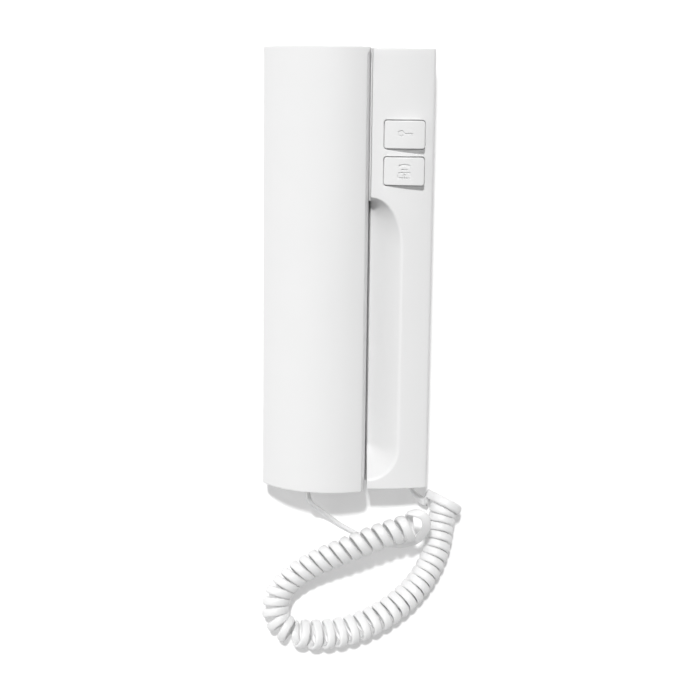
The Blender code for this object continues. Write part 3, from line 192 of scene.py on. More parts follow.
@dataclass(frozen=True)
class MouldedPlastic:
    """Injection-moulded plastic or rubber from a spark-eroded mould.

    The mould leaves a fine even grain that breaks the gloss. Handling polishes
    the edges a little, and the pigment is never spread quite evenly.
    """

    name: str
    colour: str
    shade: str
    roughness: float
    ior: float = 1.53
    grain: float = 0.35 * MM  # spark-eroded pits, coarser than real so that they show
    grain_depth: float = 0.012 * MM
    cloud: float = 28 * MM  # width of the patches of uneven pigment
    polish: float = 0.08  # roughness that handling takes off the edges
    edges: tuple[float, float] = (0.5, 0.62)  # how convex a handled edge is
    patchiness: float = 0.06

    def make(self) -> bpy.types.Material:
        """Builds the material."""
        material, tree, shader = new_finish(self.name)
        place = add_node(tree, "ShaderNodeTexCoord").outputs["Object"]
        soft = {"Vector": place, "Scale": 1 / self.cloud, "Detail": 3.0, "Roughness": 0.6}
        cloud = add_node(tree, "ShaderNodeTexNoise", soft)
        fine = {"Vector": place, "Scale": 1 / self.grain, "Detail": 2.0, "Roughness": 0.5}
        grain = add_node(tree, "ShaderNodeTexNoise", fine)
        colours = (self.shade, self.colour)
        colour_and_relief(shader, cloud, colours, grain, self.grain_depth)
        wear = {
            "Value": add_node(tree, "ShaderNodeNewGeometry").outputs["Pointiness"],
            "From Min": self.edges[0],
            "From Max": self.edges[1],
            "To Min": self.roughness,
            "To Max": self.roughness - self.polish,
        }
        worn = add_node(tree, "ShaderNodeMapRange", wear)
        parts = {0: cloud, 1: self.patchiness, 2: worn}
        patchy = add_node(tree, "ShaderNodeMath", parts, operation="MULTIPLY_ADD")
        wire(shader, {"Roughness": patchy, "IOR": self.ior})
        return material


@dataclass(frozen=True)
class ExtrudedVinyl:
    """Plasticised PVC drawn over a flat cord.

    The jacket is smooth and soft to the touch, with a satin gloss and faint lines
    along it from the die.
    """

    name: str
    colour: str
    shade: str
    roughness: float
    ior: float = 1.52
    die_line: float = 0.4 * MM
    die_line_length: float = 30 * MM
    line_depth: float = 0.012 * MM
    gloss_range: tuple[float, float] = (-0.04, 0.06)

    def make(self) -> bpy.types.Material:
        """Builds the material."""
        material, tree, shader = new_finish(self.name)
        along = add_node(tree, "ShaderNodeUVMap")
        scale = (1 / self.die_line_length, 1 / self.die_line, 1.0)
        drawn = add_node(tree, "ShaderNodeMapping", {"Vector": along, "Scale": scale})
        streaks = {"Vector": drawn, "Scale": 1.0, "Detail": 2.0}
        lines = add_node(tree, "ShaderNodeTexNoise", streaks)
        colours = (self.shade, self.colour)
        colour_and_relief(shader, lines, colours, lines, self.line_depth)
        least, most = (self.roughness + change for change in self.gloss_range)
        satin = {"Value": lines, "To Min": least, "To Max": most}
        gloss = add_node(tree, "ShaderNodeMapRange", satin)
        wire(shader, {"Roughness": gloss, "IOR": self.ior})
        return material


@dataclass(frozen=True)
class PlatedSteel:
    """Cold-formed steel with bright zinc plating.

    The bluish plating has a fine crystal bloom over the marks of forming.
    """

    name: str
    colour: str
    bloom_colour: str
    roughness: float
    bloom: float = 0.5 * MM
    mark: float = 0.12 * MM
    mark_depth: float = 0.004 * MM

    def make(self) -> bpy.types.Material:
        """Builds the material."""
        material, tree, shader = new_finish(self.name)
        place = add_node(tree, "ShaderNodeTexCoord").outputs["Object"]
        crystals = {"Vector": place, "Scale": 1 / self.bloom}
        bloom = add_node(tree, "ShaderNodeTexVoronoi", crystals)
        rolled = {"Vector": place, "Scale": 1 / self.mark, "Detail": 2.0}
        marks = add_node(tree, "ShaderNodeTexNoise", rolled)
        colours = (self.colour, self.bloom_colour)
        colour_and_relief(shader, bloom, colours, marks, self.mark_depth)
        wire(shader, {"Metallic": 1.0, "Roughness": self.roughness})
        return material


@dataclass(frozen=True)
class SolderMask:
    """Glass-epoxy circuit board under green solder mask.

    The tracks show through the glossy mask as a lighter green, and the weave
    of the glass cloth gives the bare laminate a faint squared pattern.
    """

    name: str
    colour: str
    track_colour: str
    roughness: float
    track_pitch: float = 2.54 * MM
    weave: float = 0.5 * MM
    weave_share: float = 0.2  # height of the weave beside a track's
    track_width: float = 0.11  # in pitches, as the length
    track_length: float = 3.0
    track_depth: float = 0.03 * MM
    ior: float = 1.5

    def make(self) -> bpy.types.Material:
        """Builds the material."""
        material, tree, shader = new_finish(self.name)
        place = add_node(tree, "ShaderNodeTexCoord").outputs["Object"]
        layout = {
            "Vector": place,
            "Scale": 1 / self.track_pitch,
            "Mortar Size": self.track_width,
            "Mortar Smooth": 0.0,
            "Brick Width": self.track_length,
            "Row Height": 1.0,
            "Color1": linear(self.colour),
            "Color2": linear(self.colour),
            "Mortar": linear(self.track_colour),
        }
        tracks = add_node(tree, "ShaderNodeTexBrick", layout)
        cloth = {"Vector": place, "Scale": 1 / self.weave}
        weave = add_node(tree, "ShaderNodeTexChecker", cloth)
        parts = {0: weave.outputs[1], 1: self.weave_share, 2: tracks.outputs[1]}
        height = add_node(tree, "ShaderNodeMath", parts, operation="MULTIPLY_ADD")
        raised = {"Height": height, "Distance": self.track_depth, "Strength": 1.0}
        bump = add_node(tree, "ShaderNodeBump", raised)
        look = {"Base Color": tracks, "Normal": bump, "Roughness": self.roughness}
        wire(shader, {**look, "IOR": self.ior})
        return material


@dataclass(frozen=True)
class StudioPaper:
    """Seamless white paper, which keeps the object's shadow.

    Matt white paper, lifted to plain white where the eye or a gloss sees it.
    """

    name: str = "studio_paper"
    colour: str = "F6F6F6"
    lift: float = 0.16

    def make(self) -> bpy.types.Material:
        """Builds the material."""
        material, tree, shader = new_finish(self.name)
        matt = {"Roughness": 1.0, "Specular IOR Level": 0.0}
        wire(shader, {"Base Color": linear(self.colour), **matt})
        path = add_node(tree, "ShaderNodeLightPath")
        seen = path.outputs["Is Camera Ray"]
        for ray in ("Is Glossy Ray", "Is Transmission Ray"):
            either = {0: seen, 1: path.outputs[ray]}
            seen = add_node(tree, "ShaderNodeMath", either, operation="MAXIMUM")
        lift = {0: seen, 1: self.lift}
        strength = add_node(tree, "ShaderNodeMath", lift, operation="MULTIPLY")
        white = {"Color": (1.0, 1.0, 1.0, 1.0), "Strength": strength}
        glow = add_node(tree, "ShaderNodeEmission", white)
        both = add_node(tree, "ShaderNodeAddShader", {0: shader, 1: glow})
        wire(tree.nodes["Material Output"], {"Surface": both})
        return material


FINISHES = {
    # ABS in the whites of office equipment: an even, slightly warm white.
    Slot.SHELL: MouldedPlastic("white_abs", "EEEEEE", "EBEBEB", 0.42),
    # The keys come from a polished mould, so they are a little glossier.
    # Their white is a touch darker than the shell's: painted shade, which tones down the extra
    # fill light that their faces catch.
    Slot.KEY: MouldedPlastic("key_abs_painted_shade", "EBEBEB", "E8E8E8", 0.34, grain_depth=0.005 * MM),
    Slot.CORD: ExtrudedVinyl("white_pvc", "F4F4F4", "F0F0F0", 0.38),
    # The plate behind is regrind ABS, greyer and coarser than the shells.
    Slot.PLATE: MouldedPlastic("grey_abs", "DCDCDA", "D6D6D4", 0.55, grain=0.6 * MM),
    Slot.BOARD: SolderMask("green_solder_mask", "235C35", "2F7A47", 0.32),
    # Glass-filled nylon: near black, with a dull skin.
    Slot.BLACK: MouldedPlastic("black_nylon", "1C1C1E", "242426", 0.5, ior=1.54),
    Slot.TERMINAL: MouldedPlastic("green_polyamide", "2F8A57", "2A8050", 0.45, ior=1.54),
    # Acetal, the waxy ivory plastic of switch plungers.
    Slot.STEM: MouldedPlastic("ivory_acetal", "CDBEA0", "C6B697", 0.45, ior=1.48),
    Slot.RUBBER: MouldedPlastic("nitrile_rubber", "161617", "1D1D1E", 0.8, ior=1.52),
    Slot.STEEL: PlatedSteel("zinc_plated_steel", "B9BCC0", "CDD0D4", 0.32),
}


@cache
def finish(slot: Slot) -> bpy.types.Material:
    """Gives the material of a slot, made on first use."""
    return FINISHES[slot].make()


# Mesh tools


def new_object(name: str, data: bpy.types.ID) -> bpy.types.Object:
    """Links an object of some data to the scene."""
    obj = bpy.data.objects.new(name, data)
    bpy.context.scene.collection.objects.link(obj)
    return obj


def add_object(
    name: str,
    points: np.ndarray,
    faces: Sequence[Sequence[int]],
    sharp: float = 38,
) -> bpy.types.Object:
    """Makes a smooth-shaded mesh object with its faces turned outwards.

    Args:
        name: The object's name.
        points: One row of x, y, z per vertex.
        faces: Vertex numbers of each face.
        sharp: Angle in degrees from which an edge stays sharp.

    Returns:
        The new object, linked to the scene.
    """
    mesh = bpy.data.meshes.new(name)
    mesh.from_pydata([tuple(map(float, p)) for p in points], [], faces)
    bm = bmesh.new()
    bm.from_mesh(mesh)
    bmesh.ops.recalc_face_normals(bm, faces=bm.faces)
    if bm.calc_volume(signed=True) < 0:
        bmesh.ops.reverse_faces(bm, faces=bm.faces)
    bm.to_mesh(mesh)
    bm.free()
    obj = new_object(name, mesh)
    shade(obj, sharp)
    return obj


def shade(obj: bpy.types.Object, sharp: float) -> None:
    """Shades a mesh smooth, apart from edges sharper than an angle in degrees."""
    obj.data.shade_smooth()
    obj.data.set_sharp_from_angle(angle=math.radians(sharp))


def skin(
    name: str, rings: Sequence[np.ndarray], sharp: float = 38
) -> bpy.types.Object:
    """Closes a skin over rings of points, with a face at each end.

    Args:
        name: The object's name.
        rings: Arrays of the same number of points, in order.
        sharp: Angle in degrees from which an edge stays sharp.

    Returns:
        The new object.
    """
    count = len(rings[0])
    points = np.concatenate([np.asarray(ring, float) for ring in rings])
    faces: list[Sequence[int]] = [list(range(count))]
    for ring in range(len(rings) - 1):
        start = ring * count
        for i in range(count):
            j = (i + 1) % count
            faces.append((start + i, start + j, start + count + j, start + count + i))
    last = (len(rings) - 1) * count
    faces.append(list(range(last, last + count)))
    return add_object(name, points, faces, sharp)


def rounded_rectangle(
    centre: tuple[float, float],
    size: tuple[float, float],
    radius: float,
    corner_steps: int = 8,
    side_steps: int = 6,
) -> np.ndarray:
    """Draws a rectangle with round corners.

    Args:
        centre: Its middle, in x and y.
        size: Its width and height.
        radius: Radius of the corners.
        corner_steps: Steps round each corner.
        side_steps: Steps along each straight side.

    Returns:
        Its points, anticlockwise, one row of x, y each.
    """
    radius = max(radius, 1e-6)
    half = np.array(size) / 2 - radius
    middles = [np.array(centre) + half * signs for signs in PLAN_CORNERS]
    points: list[np.ndarray] = []
    for quarter, middle in enumerate(middles):
        start = math.pi / 2 * quarter
        for i in range(corner_steps + 1):
            angle = start + math.pi / 2 * i / corner_steps
            points.append(middle + radius * np.array((math.cos(angle), math.sin(angle))))
        last = points[-1]
        target = middles[(quarter + 1) % 4] + (last - middle)
        points += [last + (target - last) * i / side_steps for i in range(1, side_steps)]
    return np.array(points)


def circle(centre: tuple[float, float], radius: float, count: int = 32) -> np.ndarray:
    """Draws a circle of points in x and y."""
    turn = np.linspace(0, TURN, count, endpoint=False)
    return np.column_stack([np.cos(turn), np.sin(turn)]) * radius + centre


def level(outline: np.ndarray, height: float | np.ndarray) -> np.ndarray:
    """Lifts a flat outline to a height, or to one height per point."""
    heights = np.broadcast_to(height, len(outline))
    return np.column_stack([outline, heights])


def turned_to_y(outline: np.ndarray, y: float) -> np.ndarray:
    """Stands an outline of x and z across the Y axis."""
    return np.column_stack([outline[:, 0], np.full(len(outline), y), outline[:, 1]])


def peg(
    name: str,
    centre: tuple[float, float],
    radius: float,
    low: float,
    high: float,
    along_y: bool = False,
) -> bpy.types.Object:
    """Makes a round peg, standing up or lying along Y, to join or cut with."""
    outline = circle(centre, radius)
    stand = turned_to_y if along_y else level
    return skin(name, [stand(outline, low), stand(outline, high)])


def middle(node: str, axes: str = "xz") -> tuple[float, ...]:
    """Gives the middle of a CAD node's box along some axes."""
    low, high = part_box(node)
    return tuple((getattr(low, axis) + getattr(high, axis)) / 2 for axis in axes)


def grid_block(grid: np.ndarray, flat: float) -> tuple[np.ndarray, list[list[int]]]:
    """Closes a block between a grid of points and a flat face.

    Args:
        grid: Rows and columns of points.
        flat: Height of the flat face.

    Returns:
        The block's points and its faces.
    """
    rows, columns = grid.shape[:2]
    number = np.arange(rows * columns).reshape(rows, columns)
    cells = (number[:-1, :-1], number[:-1, 1:], number[1:, 1:], number[1:, :-1])
    faces = np.stack(cells, axis=2).reshape(-1, 4).tolist()
    rim = [*number[0], *number[1:, -1], *number[-1, -2::-1], *number[-2:0:-1, 0]]
    points = grid.reshape(-1, 3)
    foot = points[rim]
    foot[:, 2] = flat
    start, count = len(points), len(rim)
    for i in range(count):
        j = (i + 1) % count
        faces.append([int(rim[i]), int(rim[j]), start + j, start + i])
    faces.append(list(range(start, start + count)))
    return np.vstack([points, foot]), faces


def combine(
    target: bpy.types.Object,
    others: Sequence[bpy.types.Object],
    operation: str = "DIFFERENCE",
    sharp: float = 38,
) -> bpy.types.Object:
    """Cuts other solids from a solid, or joins them to it, and removes them.

    Args:
        target: The solid that stays.
        others: The cutters, or what is joined.
        operation: DIFFERENCE, UNION or INTERSECT.
        sharp: Angle in degrees from which an edge stays sharp.

    Returns:
        The target.
    """
    for other in others:
        modifier = target.modifiers.new("solid", "BOOLEAN")
        modifier.operation = operation
        modifier.solver = "EXACT"
        modifier.object = other
    graph = bpy.context.evaluated_depsgraph_get()
    graph.update()
    made = bpy.data.meshes.new_from_object(target.evaluated_get(graph))
    target.modifiers.clear()
    before, target.data = target.data, made
    made.name = target.name
    bpy.data.meshes.remove(before)
    for other in others:
        mesh = other.data
        bpy.data.objects.remove(other, do_unlink=True)
        bpy.data.meshes.remove(mesh)
    shade(target, sharp)
    return target


def dress(
    obj: bpy.types.Object, slot: Slot, body: Body, *nodes: str
) -> bpy.types.Object:
    """Gives a piece its finish and its body, and hides the CAD nodes it stands for.

    Args:
        obj: The piece.
        slot: The material slot of its finish.
        body: The body that it rides on.
        *nodes: CAD nodes that it replaces.

    Returns:
        The piece.
    """
    obj.data.materials.clear()
    obj.data.materials.append(finish(slot))
    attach(obj, body.value)
    if nodes:
        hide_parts(*nodes)
    LOG.info("%s: %d faces, rides on %s", obj.name, len(obj.data.polygons), body.value)
    return obj


def face_drop(share: np.ndarray | float, roundness: float) -> np.ndarray:
    """Says how far a rounded face has fallen: 0 at its crest, 1 at its edge."""
    full = 1 - math.sqrt(1 - roundness**2)
    return (1 - np.sqrt(1 - (roundness * np.asarray(share)) ** 2)) / full


def quarter_round(radius: float, steps: int = 5) -> list[tuple[float, float]]:
    """Divides a rounded edge into steps.

    Args:
        radius: Radius of the edge.
        steps: Number of steps round it.

    Returns:
        Pairs of the distance in from the side and the drop below the top,
        from the side inwards.
    """
    angles = np.linspace(0, math.pi / 2, steps + 1)
    return [(radius * (1 - math.cos(a)), radius * (1 - math.sin(a))) for a in angles]


def soft_corner(
    before: Sequence[float],
    corner: Sequence[float],
    after: Sequence[float],
    reach: float,
    steps: int = 3,
) -> list[np.ndarray]:
    """Eases a corner of a profile with a short curve.

    Args:
        before: The point before the corner.
        corner: The corner.
        after: The point after it.
        reach: How far from the corner the curve starts and ends.
        steps: Steps along the curve.

    Returns:
        The points that take the corner's place.
    """
    a, b, c = (np.array(p, float) for p in (before, corner, after))
    start = b + (a - b) / np.linalg.norm(a - b) * reach
    end = b + (c - b) / np.linalg.norm(c - b) * reach
    return [
        (1 - t) ** 2 * start + 2 * t * (1 - t) * b + t**2 * end
        for t in np.linspace(0, 1, steps + 1)
    ]


def smoothstep(value: np.ndarray | float) -> np.ndarray:
    """Eases from 0 to 1, flat at both ends."""
    share = np.clip(value, 0, 1)
    return share * share * (3 - 2 * share)


def round_plan_corners(
    points: np.ndarray, low: Sequence[float], high: Sequence[float], radii: Sequence[float]
) -> np.ndarray:
    """Squeezes the upright edges of a box-like solid into round corners.

    Args:
        points: The solid's points.
        low: Least x and y.
        high: Greatest x and y.
        radii: Radius at upper right, upper left, lower left and lower right.

    Returns:
        The moved points.
    """
    moved = points.copy()
    for sign, radius in zip(PLAN_CORNERS, radii):
        corner = np.where(np.array(sign) > 0, high, low)
        centre = corner - radius * np.array(sign)
        out = (moved[:, :2] - centre) * sign
        inside = (out > 0).all(axis=1)
        reach = np.linalg.norm(out[inside], axis=1, keepdims=True)
        squeeze = out[inside].max(axis=1, keepdims=True) / np.maximum(reach, 1e-12)
        moved[inside, :2] = centre + out[inside] * squeeze * sign
    return moved


# Cords


def unit(vectors: np.ndarray) -> np.ndarray:
    """Scales vectors to a length of 1."""
    return vectors / np.linalg.norm(vectors, axis=-1, keepdims=True)


def smooth_path(points: Sequence[Sequence[float]], step: float) -> np.ndarray:
    """Draws one smooth curve through points.

    Args:
        points: The points, in order.
        step: Spacing of the points that come back.

    Returns:
        Evenly spaced points on a centripetal Catmull-Rom curve.
    """
    p = np.array(points, float)
    p = np.vstack([2 * p[0] - p[1], p, 2 * p[-1] - p[-2]])
    fine = []
    for a, b, c, d in zip(p, p[1:], p[2:], p[3:]):
        t1 = math.sqrt(np.linalg.norm(b - a))
        t2 = t1 + math.sqrt(np.linalg.norm(c - b))
        t3 = t2 + math.sqrt(np.linalg.norm(d - c))
        for t in np.linspace(t1, t2, 24, endpoint=False):
            a1 = (t1 - t) / t1 * a + t / t1 * b
            a2 = (t2 - t) / (t2 - t1) * b + (t - t1) / (t2 - t1) * c
            a3 = (t3 - t) / (t3 - t2) * c + (t - t2) / (t3 - t2) * d
            b1 = (t2 - t) / t2 * a1 + t / t2 * a2
            b2 = (t3 - t) / (t3 - t1) * a2 + (t - t1) / (t3 - t1) * a3
            fine.append((t2 - t) / (t2 - t1) * b1 + (t - t1) / (t2 - t1) * b2)
    fine.append(p[-2])
    line = np.array(fine)
    gone = path_distance(line)
    places = np.linspace(0, gone[-1], max(2, round(gone[-1] / step)) + 1)
    return np.stack([np.interp(places, gone, line[:, i]) for i in range(3)], axis=1)


def path_distance(line: np.ndarray) -> np.ndarray:
    """Distance travelled along a line, at each of its points."""
    steps = np.linalg.norm(np.diff(line, axis=0), axis=1)
    return np.concatenate([[0], np.cumsum(steps)])


@dataclass
class FlatCord:
    """Flat four-core handset cord: a straight lead, a curly part and another lead."""

    width: float = 4.4 * MM
    thickness: float = 2.3 * MM
    section_points: int = 16
    curl_radius: float = 5.8 * MM  # coil's axis to the middle of the cord
    start_radius: float = 6.6 * MM  # the wide first turn
    end_radius: float = 7.8 * MM  # the wide last turn
    flare_turns: float = 1.3
    coil_step: float = 0.28 * MM  # along the axis, from point to point
    run_in: float = 1.5 * MM  # straight run into the first turn
    start_angle: float = math.radians(180)
    end_angle: float = math.radians(20)
    reversal: float = 0.475  # share of the axis where the winding changes hand
    reversal_length: float = 0.03
    join_from: float = 0.85  # share of the handset's lead where it turns with the coil
    bush_proud: float = 1.0 * MM
    bush_radius: float = 2.6 * MM
    flange_radius: float = 4.0 * MM
    bush_wall: float = 2.0 * MM
    # Shares of the bush's radius, and of how far it stands out
    bush_ribs: tuple[tuple[float, float], ...] = (
        (0.55, 1.0), (0.80, 1.0), (0.90, 0.85), (0.92, 0.62),
        (0.82, 0.56), (0.82, 0.40), (0.98, 0.34), (1.0, 0.1),
    )
    fullness: float = 0.78  # a pillow's section, fuller than an ellipse
    # Routes, from the handset to the base
    handset_route: tuple[tuple[float, float, float], ...] = (
        (-0.0166, -0.1180, 0.0182), (-0.0143, -0.1213, 0.0134), (-0.0114, -0.1248, 0.0088),
        (-0.0074, -0.1291, 0.0046), (-0.0023, -0.1336, 0.0021), (0.0036, -0.1371, 0.0014),
        (0.0100, -0.1403, 0.0014), (0.0165, -0.1426, 0.0024), (0.0226, -0.1434, 0.0048),
        (0.0284, -0.1420, 0.0098), (0.0336, -0.1385, 0.0170), (0.0376, -0.1336, 0.0245),
        (0.0402, -0.1284, 0.0300), (0.0410, -0.1234, 0.0334), (0.0395, -0.1194, 0.0345),
        (0.0364, -0.1180, 0.0342),
    )
    # Share of the handset's lead, and how flat it lies there
    lie: tuple[tuple[float, float], ...] = (
        (0.0, 0.0), (0.1, 0.2), (0.5, 0.2), (0.75, 0.9), (1.0, 1.0),
    )
    coil_axis: tuple[tuple[float, float, float], ...] = (
        (0.0348, -0.1260, 0.0295), (0.0237, -0.1296, 0.0291), (0.0126, -0.1344, 0.0278),
        (0.0021, -0.1397, 0.0257), (-0.0081, -0.1454, 0.0220), (-0.0178, -0.1518, 0.0180),
        (-0.0266, -0.1593, 0.0143), (-0.0331, -0.1684, 0.0113), (-0.0348, -0.1793, 0.0095),
        (-0.0328, -0.1846, 0.0090), (-0.0287, -0.1886, 0.0088), (-0.0229, -0.1908, 0.0087),
        (-0.0097, -0.1911, 0.0086), (0.0027, -0.1888, 0.0084), (0.0135, -0.1844, 0.0082),
        (0.0233, -0.1784, 0.0080), (0.0315, -0.1715, 0.0080), (0.0380, -0.1641, 0.0080),
        (0.0430, -0.1561, 0.0082), (0.0466, -0.1476, 0.0087), (0.0486, -0.1386, 0.0095),
        (0.0496, -0.1293, 0.0106), (0.0508, -0.1216, 0.0120), (0.0522, -0.1180, 0.0128),
    )
    # Share of the coil's axis, and there: the pitch of the turns, and how far their
    # tops lean forward and to the left, per unit of height
    winding: tuple[tuple[float, float, float, float], ...] = (
        (0.00, 5.8 * MM, -0.15, -0.35), (0.10, 6.0 * MM, -0.15, -0.35),
        (0.28, 6.1 * MM, -0.15, -0.30), (0.40, 5.7 * MM, -0.15, -0.10),
        (0.45, 5.9 * MM, -0.10, 0.00), (0.52, 6.5 * MM, 0.45, -0.35),
        (0.58, 6.3 * MM, 0.45, -0.35), (0.68, 5.7 * MM, 0.50, -0.30),
        (0.76, 5.0 * MM, 0.45, -0.15), (0.84, 4.8 * MM, 0.45, 0.00),
        (0.95, 4.8 * MM, 0.45, 0.00), (1.00, 4.8 * MM, 0.25, 0.00),
    )
    base_route: tuple[tuple[float, float, float], ...] = (
        (0.0420, -0.1198, 0.0072),
    )

    def flare(self, turns: np.ndarray) -> np.ndarray:
        """Gives 1 at an end of the coil, easing to 0 a little over a turn in."""
        return smoothstep(1 - turns / self.flare_turns)

    def coil_line(self) -> tuple[np.ndarray, np.ndarray]:
        """Winds the curly part round its axis.

        Half way along, where the coil turns back, the winding changes hand. The
        turns lean over, as they do in a slack coil that lies on a table.

        Returns:
            The middle of the cord, and the direction of its wide side there.
        """
        axis = smooth_path(self.coil_axis, self.coil_step)
        heading = unit(np.gradient(axis, axis=0))
        flat = unit(heading * (1, 1, 0))
        side = np.cross((0, 0, 1), flat)
        gone = path_distance(axis)
        share = gone / gone[-1]
        places, *profiles = zip(*self.winding)
        pitch, forward, left = (np.interp(share, places, values) for values in profiles)
        hand = 1 - 2 * smoothstep((share - self.reversal) / self.reversal_length + 0.5)
        rate = TURN / pitch * hand
        steps = (rate[1:] + rate[:-1]) / 2 * np.diff(gone)
        turned = np.concatenate([[0], np.cumsum(steps)])
        # The second half's turns are eased a little, so that it ends at its angle.
        peak = int(np.argmax(turned))
        unwound = turned[peak] - turned[-1]
        target = self.start_angle + turned[peak] - self.end_angle
        whole = TURN * round((target - unwound) / TURN)
        eased = (target - whole) / unwound
        turned[peak:] = turned[peak] - (turned[peak] - turned[peak:]) * eased
        angle = (self.start_angle + turned)[:, None]
        wound = np.abs(angle - angle[0]) / TURN
        unfinished = np.abs(angle[-1] - angle) / TURN
        near_start = (share < 0.5)[:, None]
        radius = self.curl_radius + np.where(
            near_start,
            (self.start_radius - self.curl_radius) * self.flare(wound),
            (self.end_radius - self.curl_radius) * self.flare(unfinished),
        )
        rise = (0, 0, 1) + flat * forward[:, None] + side * left[:, None]
        line = axis + radius * (side * np.cos(angle) + rise * np.sin(angle))
        start = line[0] - unit(line[1] - line[0]) * self.run_in
        end = line[-1] + unit(line[-1] - line[-2]) * self.width
        line = np.vstack([start, line, end])
        wide = unit(np.cross(side, rise))
        return line, np.vstack([wide[:1], wide, wide[-1:]])

    def tube(self, name: str, line: np.ndarray, across: np.ndarray) -> bpy.types.Object:
        """Draws the flat jacket along a line.

        Args:
            name: The piece's name.
            line: The middle of the cord.
            across: The direction of its wide side at each point.

        Returns:
            The piece, with lengths along and round it for its UV map.
        """
        heading = unit(np.gradient(line, axis=0))
        heading[0] = unit(line[1] - line[0])
        heading[-1] = unit(line[-1] - line[-2])
        wide = unit(across - np.sum(across * heading, axis=1, keepdims=True) * heading)
        thick = np.cross(heading, wide)
        turn = np.linspace(0, TURN, self.section_points, endpoint=False)
        cosine, sine = np.cos(turn), np.sin(turn)
        u = np.sign(cosine) * np.abs(cosine) ** self.fullness * self.width / 2
        v = np.sign(sine) * np.abs(sine) ** self.fullness * self.thickness / 2
        rings = [
            p + np.outer(u, w) + np.outer(v, t) for p, w, t in zip(line, wide, thick)
        ]
        obj = skin(name, rings, sharp=60)
        self.unwrap(obj, path_distance(line))
        return obj

    def unwrap(self, obj: bpy.types.Object, along: np.ndarray) -> None:
        """Maps the jacket: metres along it and metres round it."""
        count = self.section_points
        girth = 2 * (self.width + self.thickness) / count
        layer = obj.data.uv_layers.new(name="jacket")
        for face in obj.data.polygons:
            rows = [obj.data.loops[i].vertex_index % count for i in face.loop_indices]
            wraps = max(rows) - min(rows) > count / 2
            for i, row in zip(face.loop_indices, rows):
                vertex = obj.data.loops[i].vertex_index
                turn = row + count if wraps and row < count / 2 else row
                layer.data[i].uv = (along[vertex // count], turn * girth)

    def bush(
        self, name: str, node: str, body: Body, end: float
    ) -> tuple[bpy.types.Object, np.ndarray]:
        """Makes the ribbed bush that holds the cord in an end wall.

        Args:
            name: The piece's name.
            node: The CAD node that it replaces.
            body: The body that it rides on.
            end: Y of the end wall's outer face.

        Returns:
            The piece, and the point where the cord leaves it.
        """
        centre = middle(node)
        inner = end + self.bush_wall + GAP
        profile = [
            (radius * self.bush_radius, end - out * self.bush_proud)
            for radius, out in self.bush_ribs
        ]
        flange = self.flange_radius
        profile += [(self.bush_radius, inner), (flange, inner)]
        profile.append((flange, inner + self.bush_wall / 2))
        rings = [turned_to_y(circle(centre, r, 40), y) for r, y in profile]
        piece = dress(skin(name, rings, 30), Slot.CORD, body, node)
        piece.data.uv_layers.new(name="jacket")
        return piece, np.array((centre[0], end - self.bush_proud - GAP, centre[1]))

    def build(self) -> None:
        """Builds the three lengths of cord and the bushes at their ends."""
        handset_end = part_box("handset_front_cover")[0].y
        base_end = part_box("base_front_housing")[0].y
        handset_bush, handset_tip = self.bush(
            "handset_cord_bush", "handset_strain_relief", Body.HANDSET, handset_end
        )
        base_bush, base_tip = self.bush(
            "base_cord_bush", "base_strain_relief", Body.BASE, base_end
        )
        coil, across = self.coil_line()
        down, upright = np.array((0.0, -1.0, 0.0)), np.array((0.0, 0.0, 1.0))

        heading = unit(coil[-1] - coil[-2])
        route = [coil[-1], coil[-1] + heading * self.run_in, *self.base_route]
        route += [base_tip + down * self.width, base_tip]
        tail = smooth_path(route, self.thickness / 2)[1:]
        share = np.linspace(0, 1, len(tail) + 1)[1:, None]
        wide = np.vstack([across, (1 - share) * across[-1] + share * upright])
        line = np.vstack([coil, tail])
        curly = self.tube("curly_cord_jacket", line, wide)
        self.declare(curly, ("curly_cord", "base_lead"))

        heading = unit(coil[1] - coil[0])
        end = coil[0]
        route = [handset_tip, handset_tip + down * self.width, *self.handset_route]
        route += [end - heading * self.run_in, end]
        line = smooth_path(route, self.thickness / 2)
        share = np.linspace(0, 1, len(line))[:, None]
        lying = np.interp(share, *zip(*self.lie))
        joined = smoothstep((share - self.join_from) / (1 - self.join_from))
        level = unit(np.cross(np.gradient(line, axis=0), upright))
        wide = lying * level - (1 - lying) * upright
        wide = (1 - joined) * wide - joined * across[0]
        lead = self.tube("handset_lead_jacket", line, wide)
        self.declare(lead, ("handset_lead",), blended=True)

    def declare(
        self,
        piece: bpy.types.Object,
        nodes: Sequence[str],
        blended: bool = False,
    ) -> None:
        """Gives a length of cord its finish and hides the CAD nodes that it replaces.
            blended: Whether it stretches between the base and the handset.
        """
        if blended:
            piece.data.materials.append(finish(Slot.CORD))
            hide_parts(*nodes)
            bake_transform(piece)
        else:
            dress(piece, Slot.CORD, Body.BASE, *nodes)


# Handset


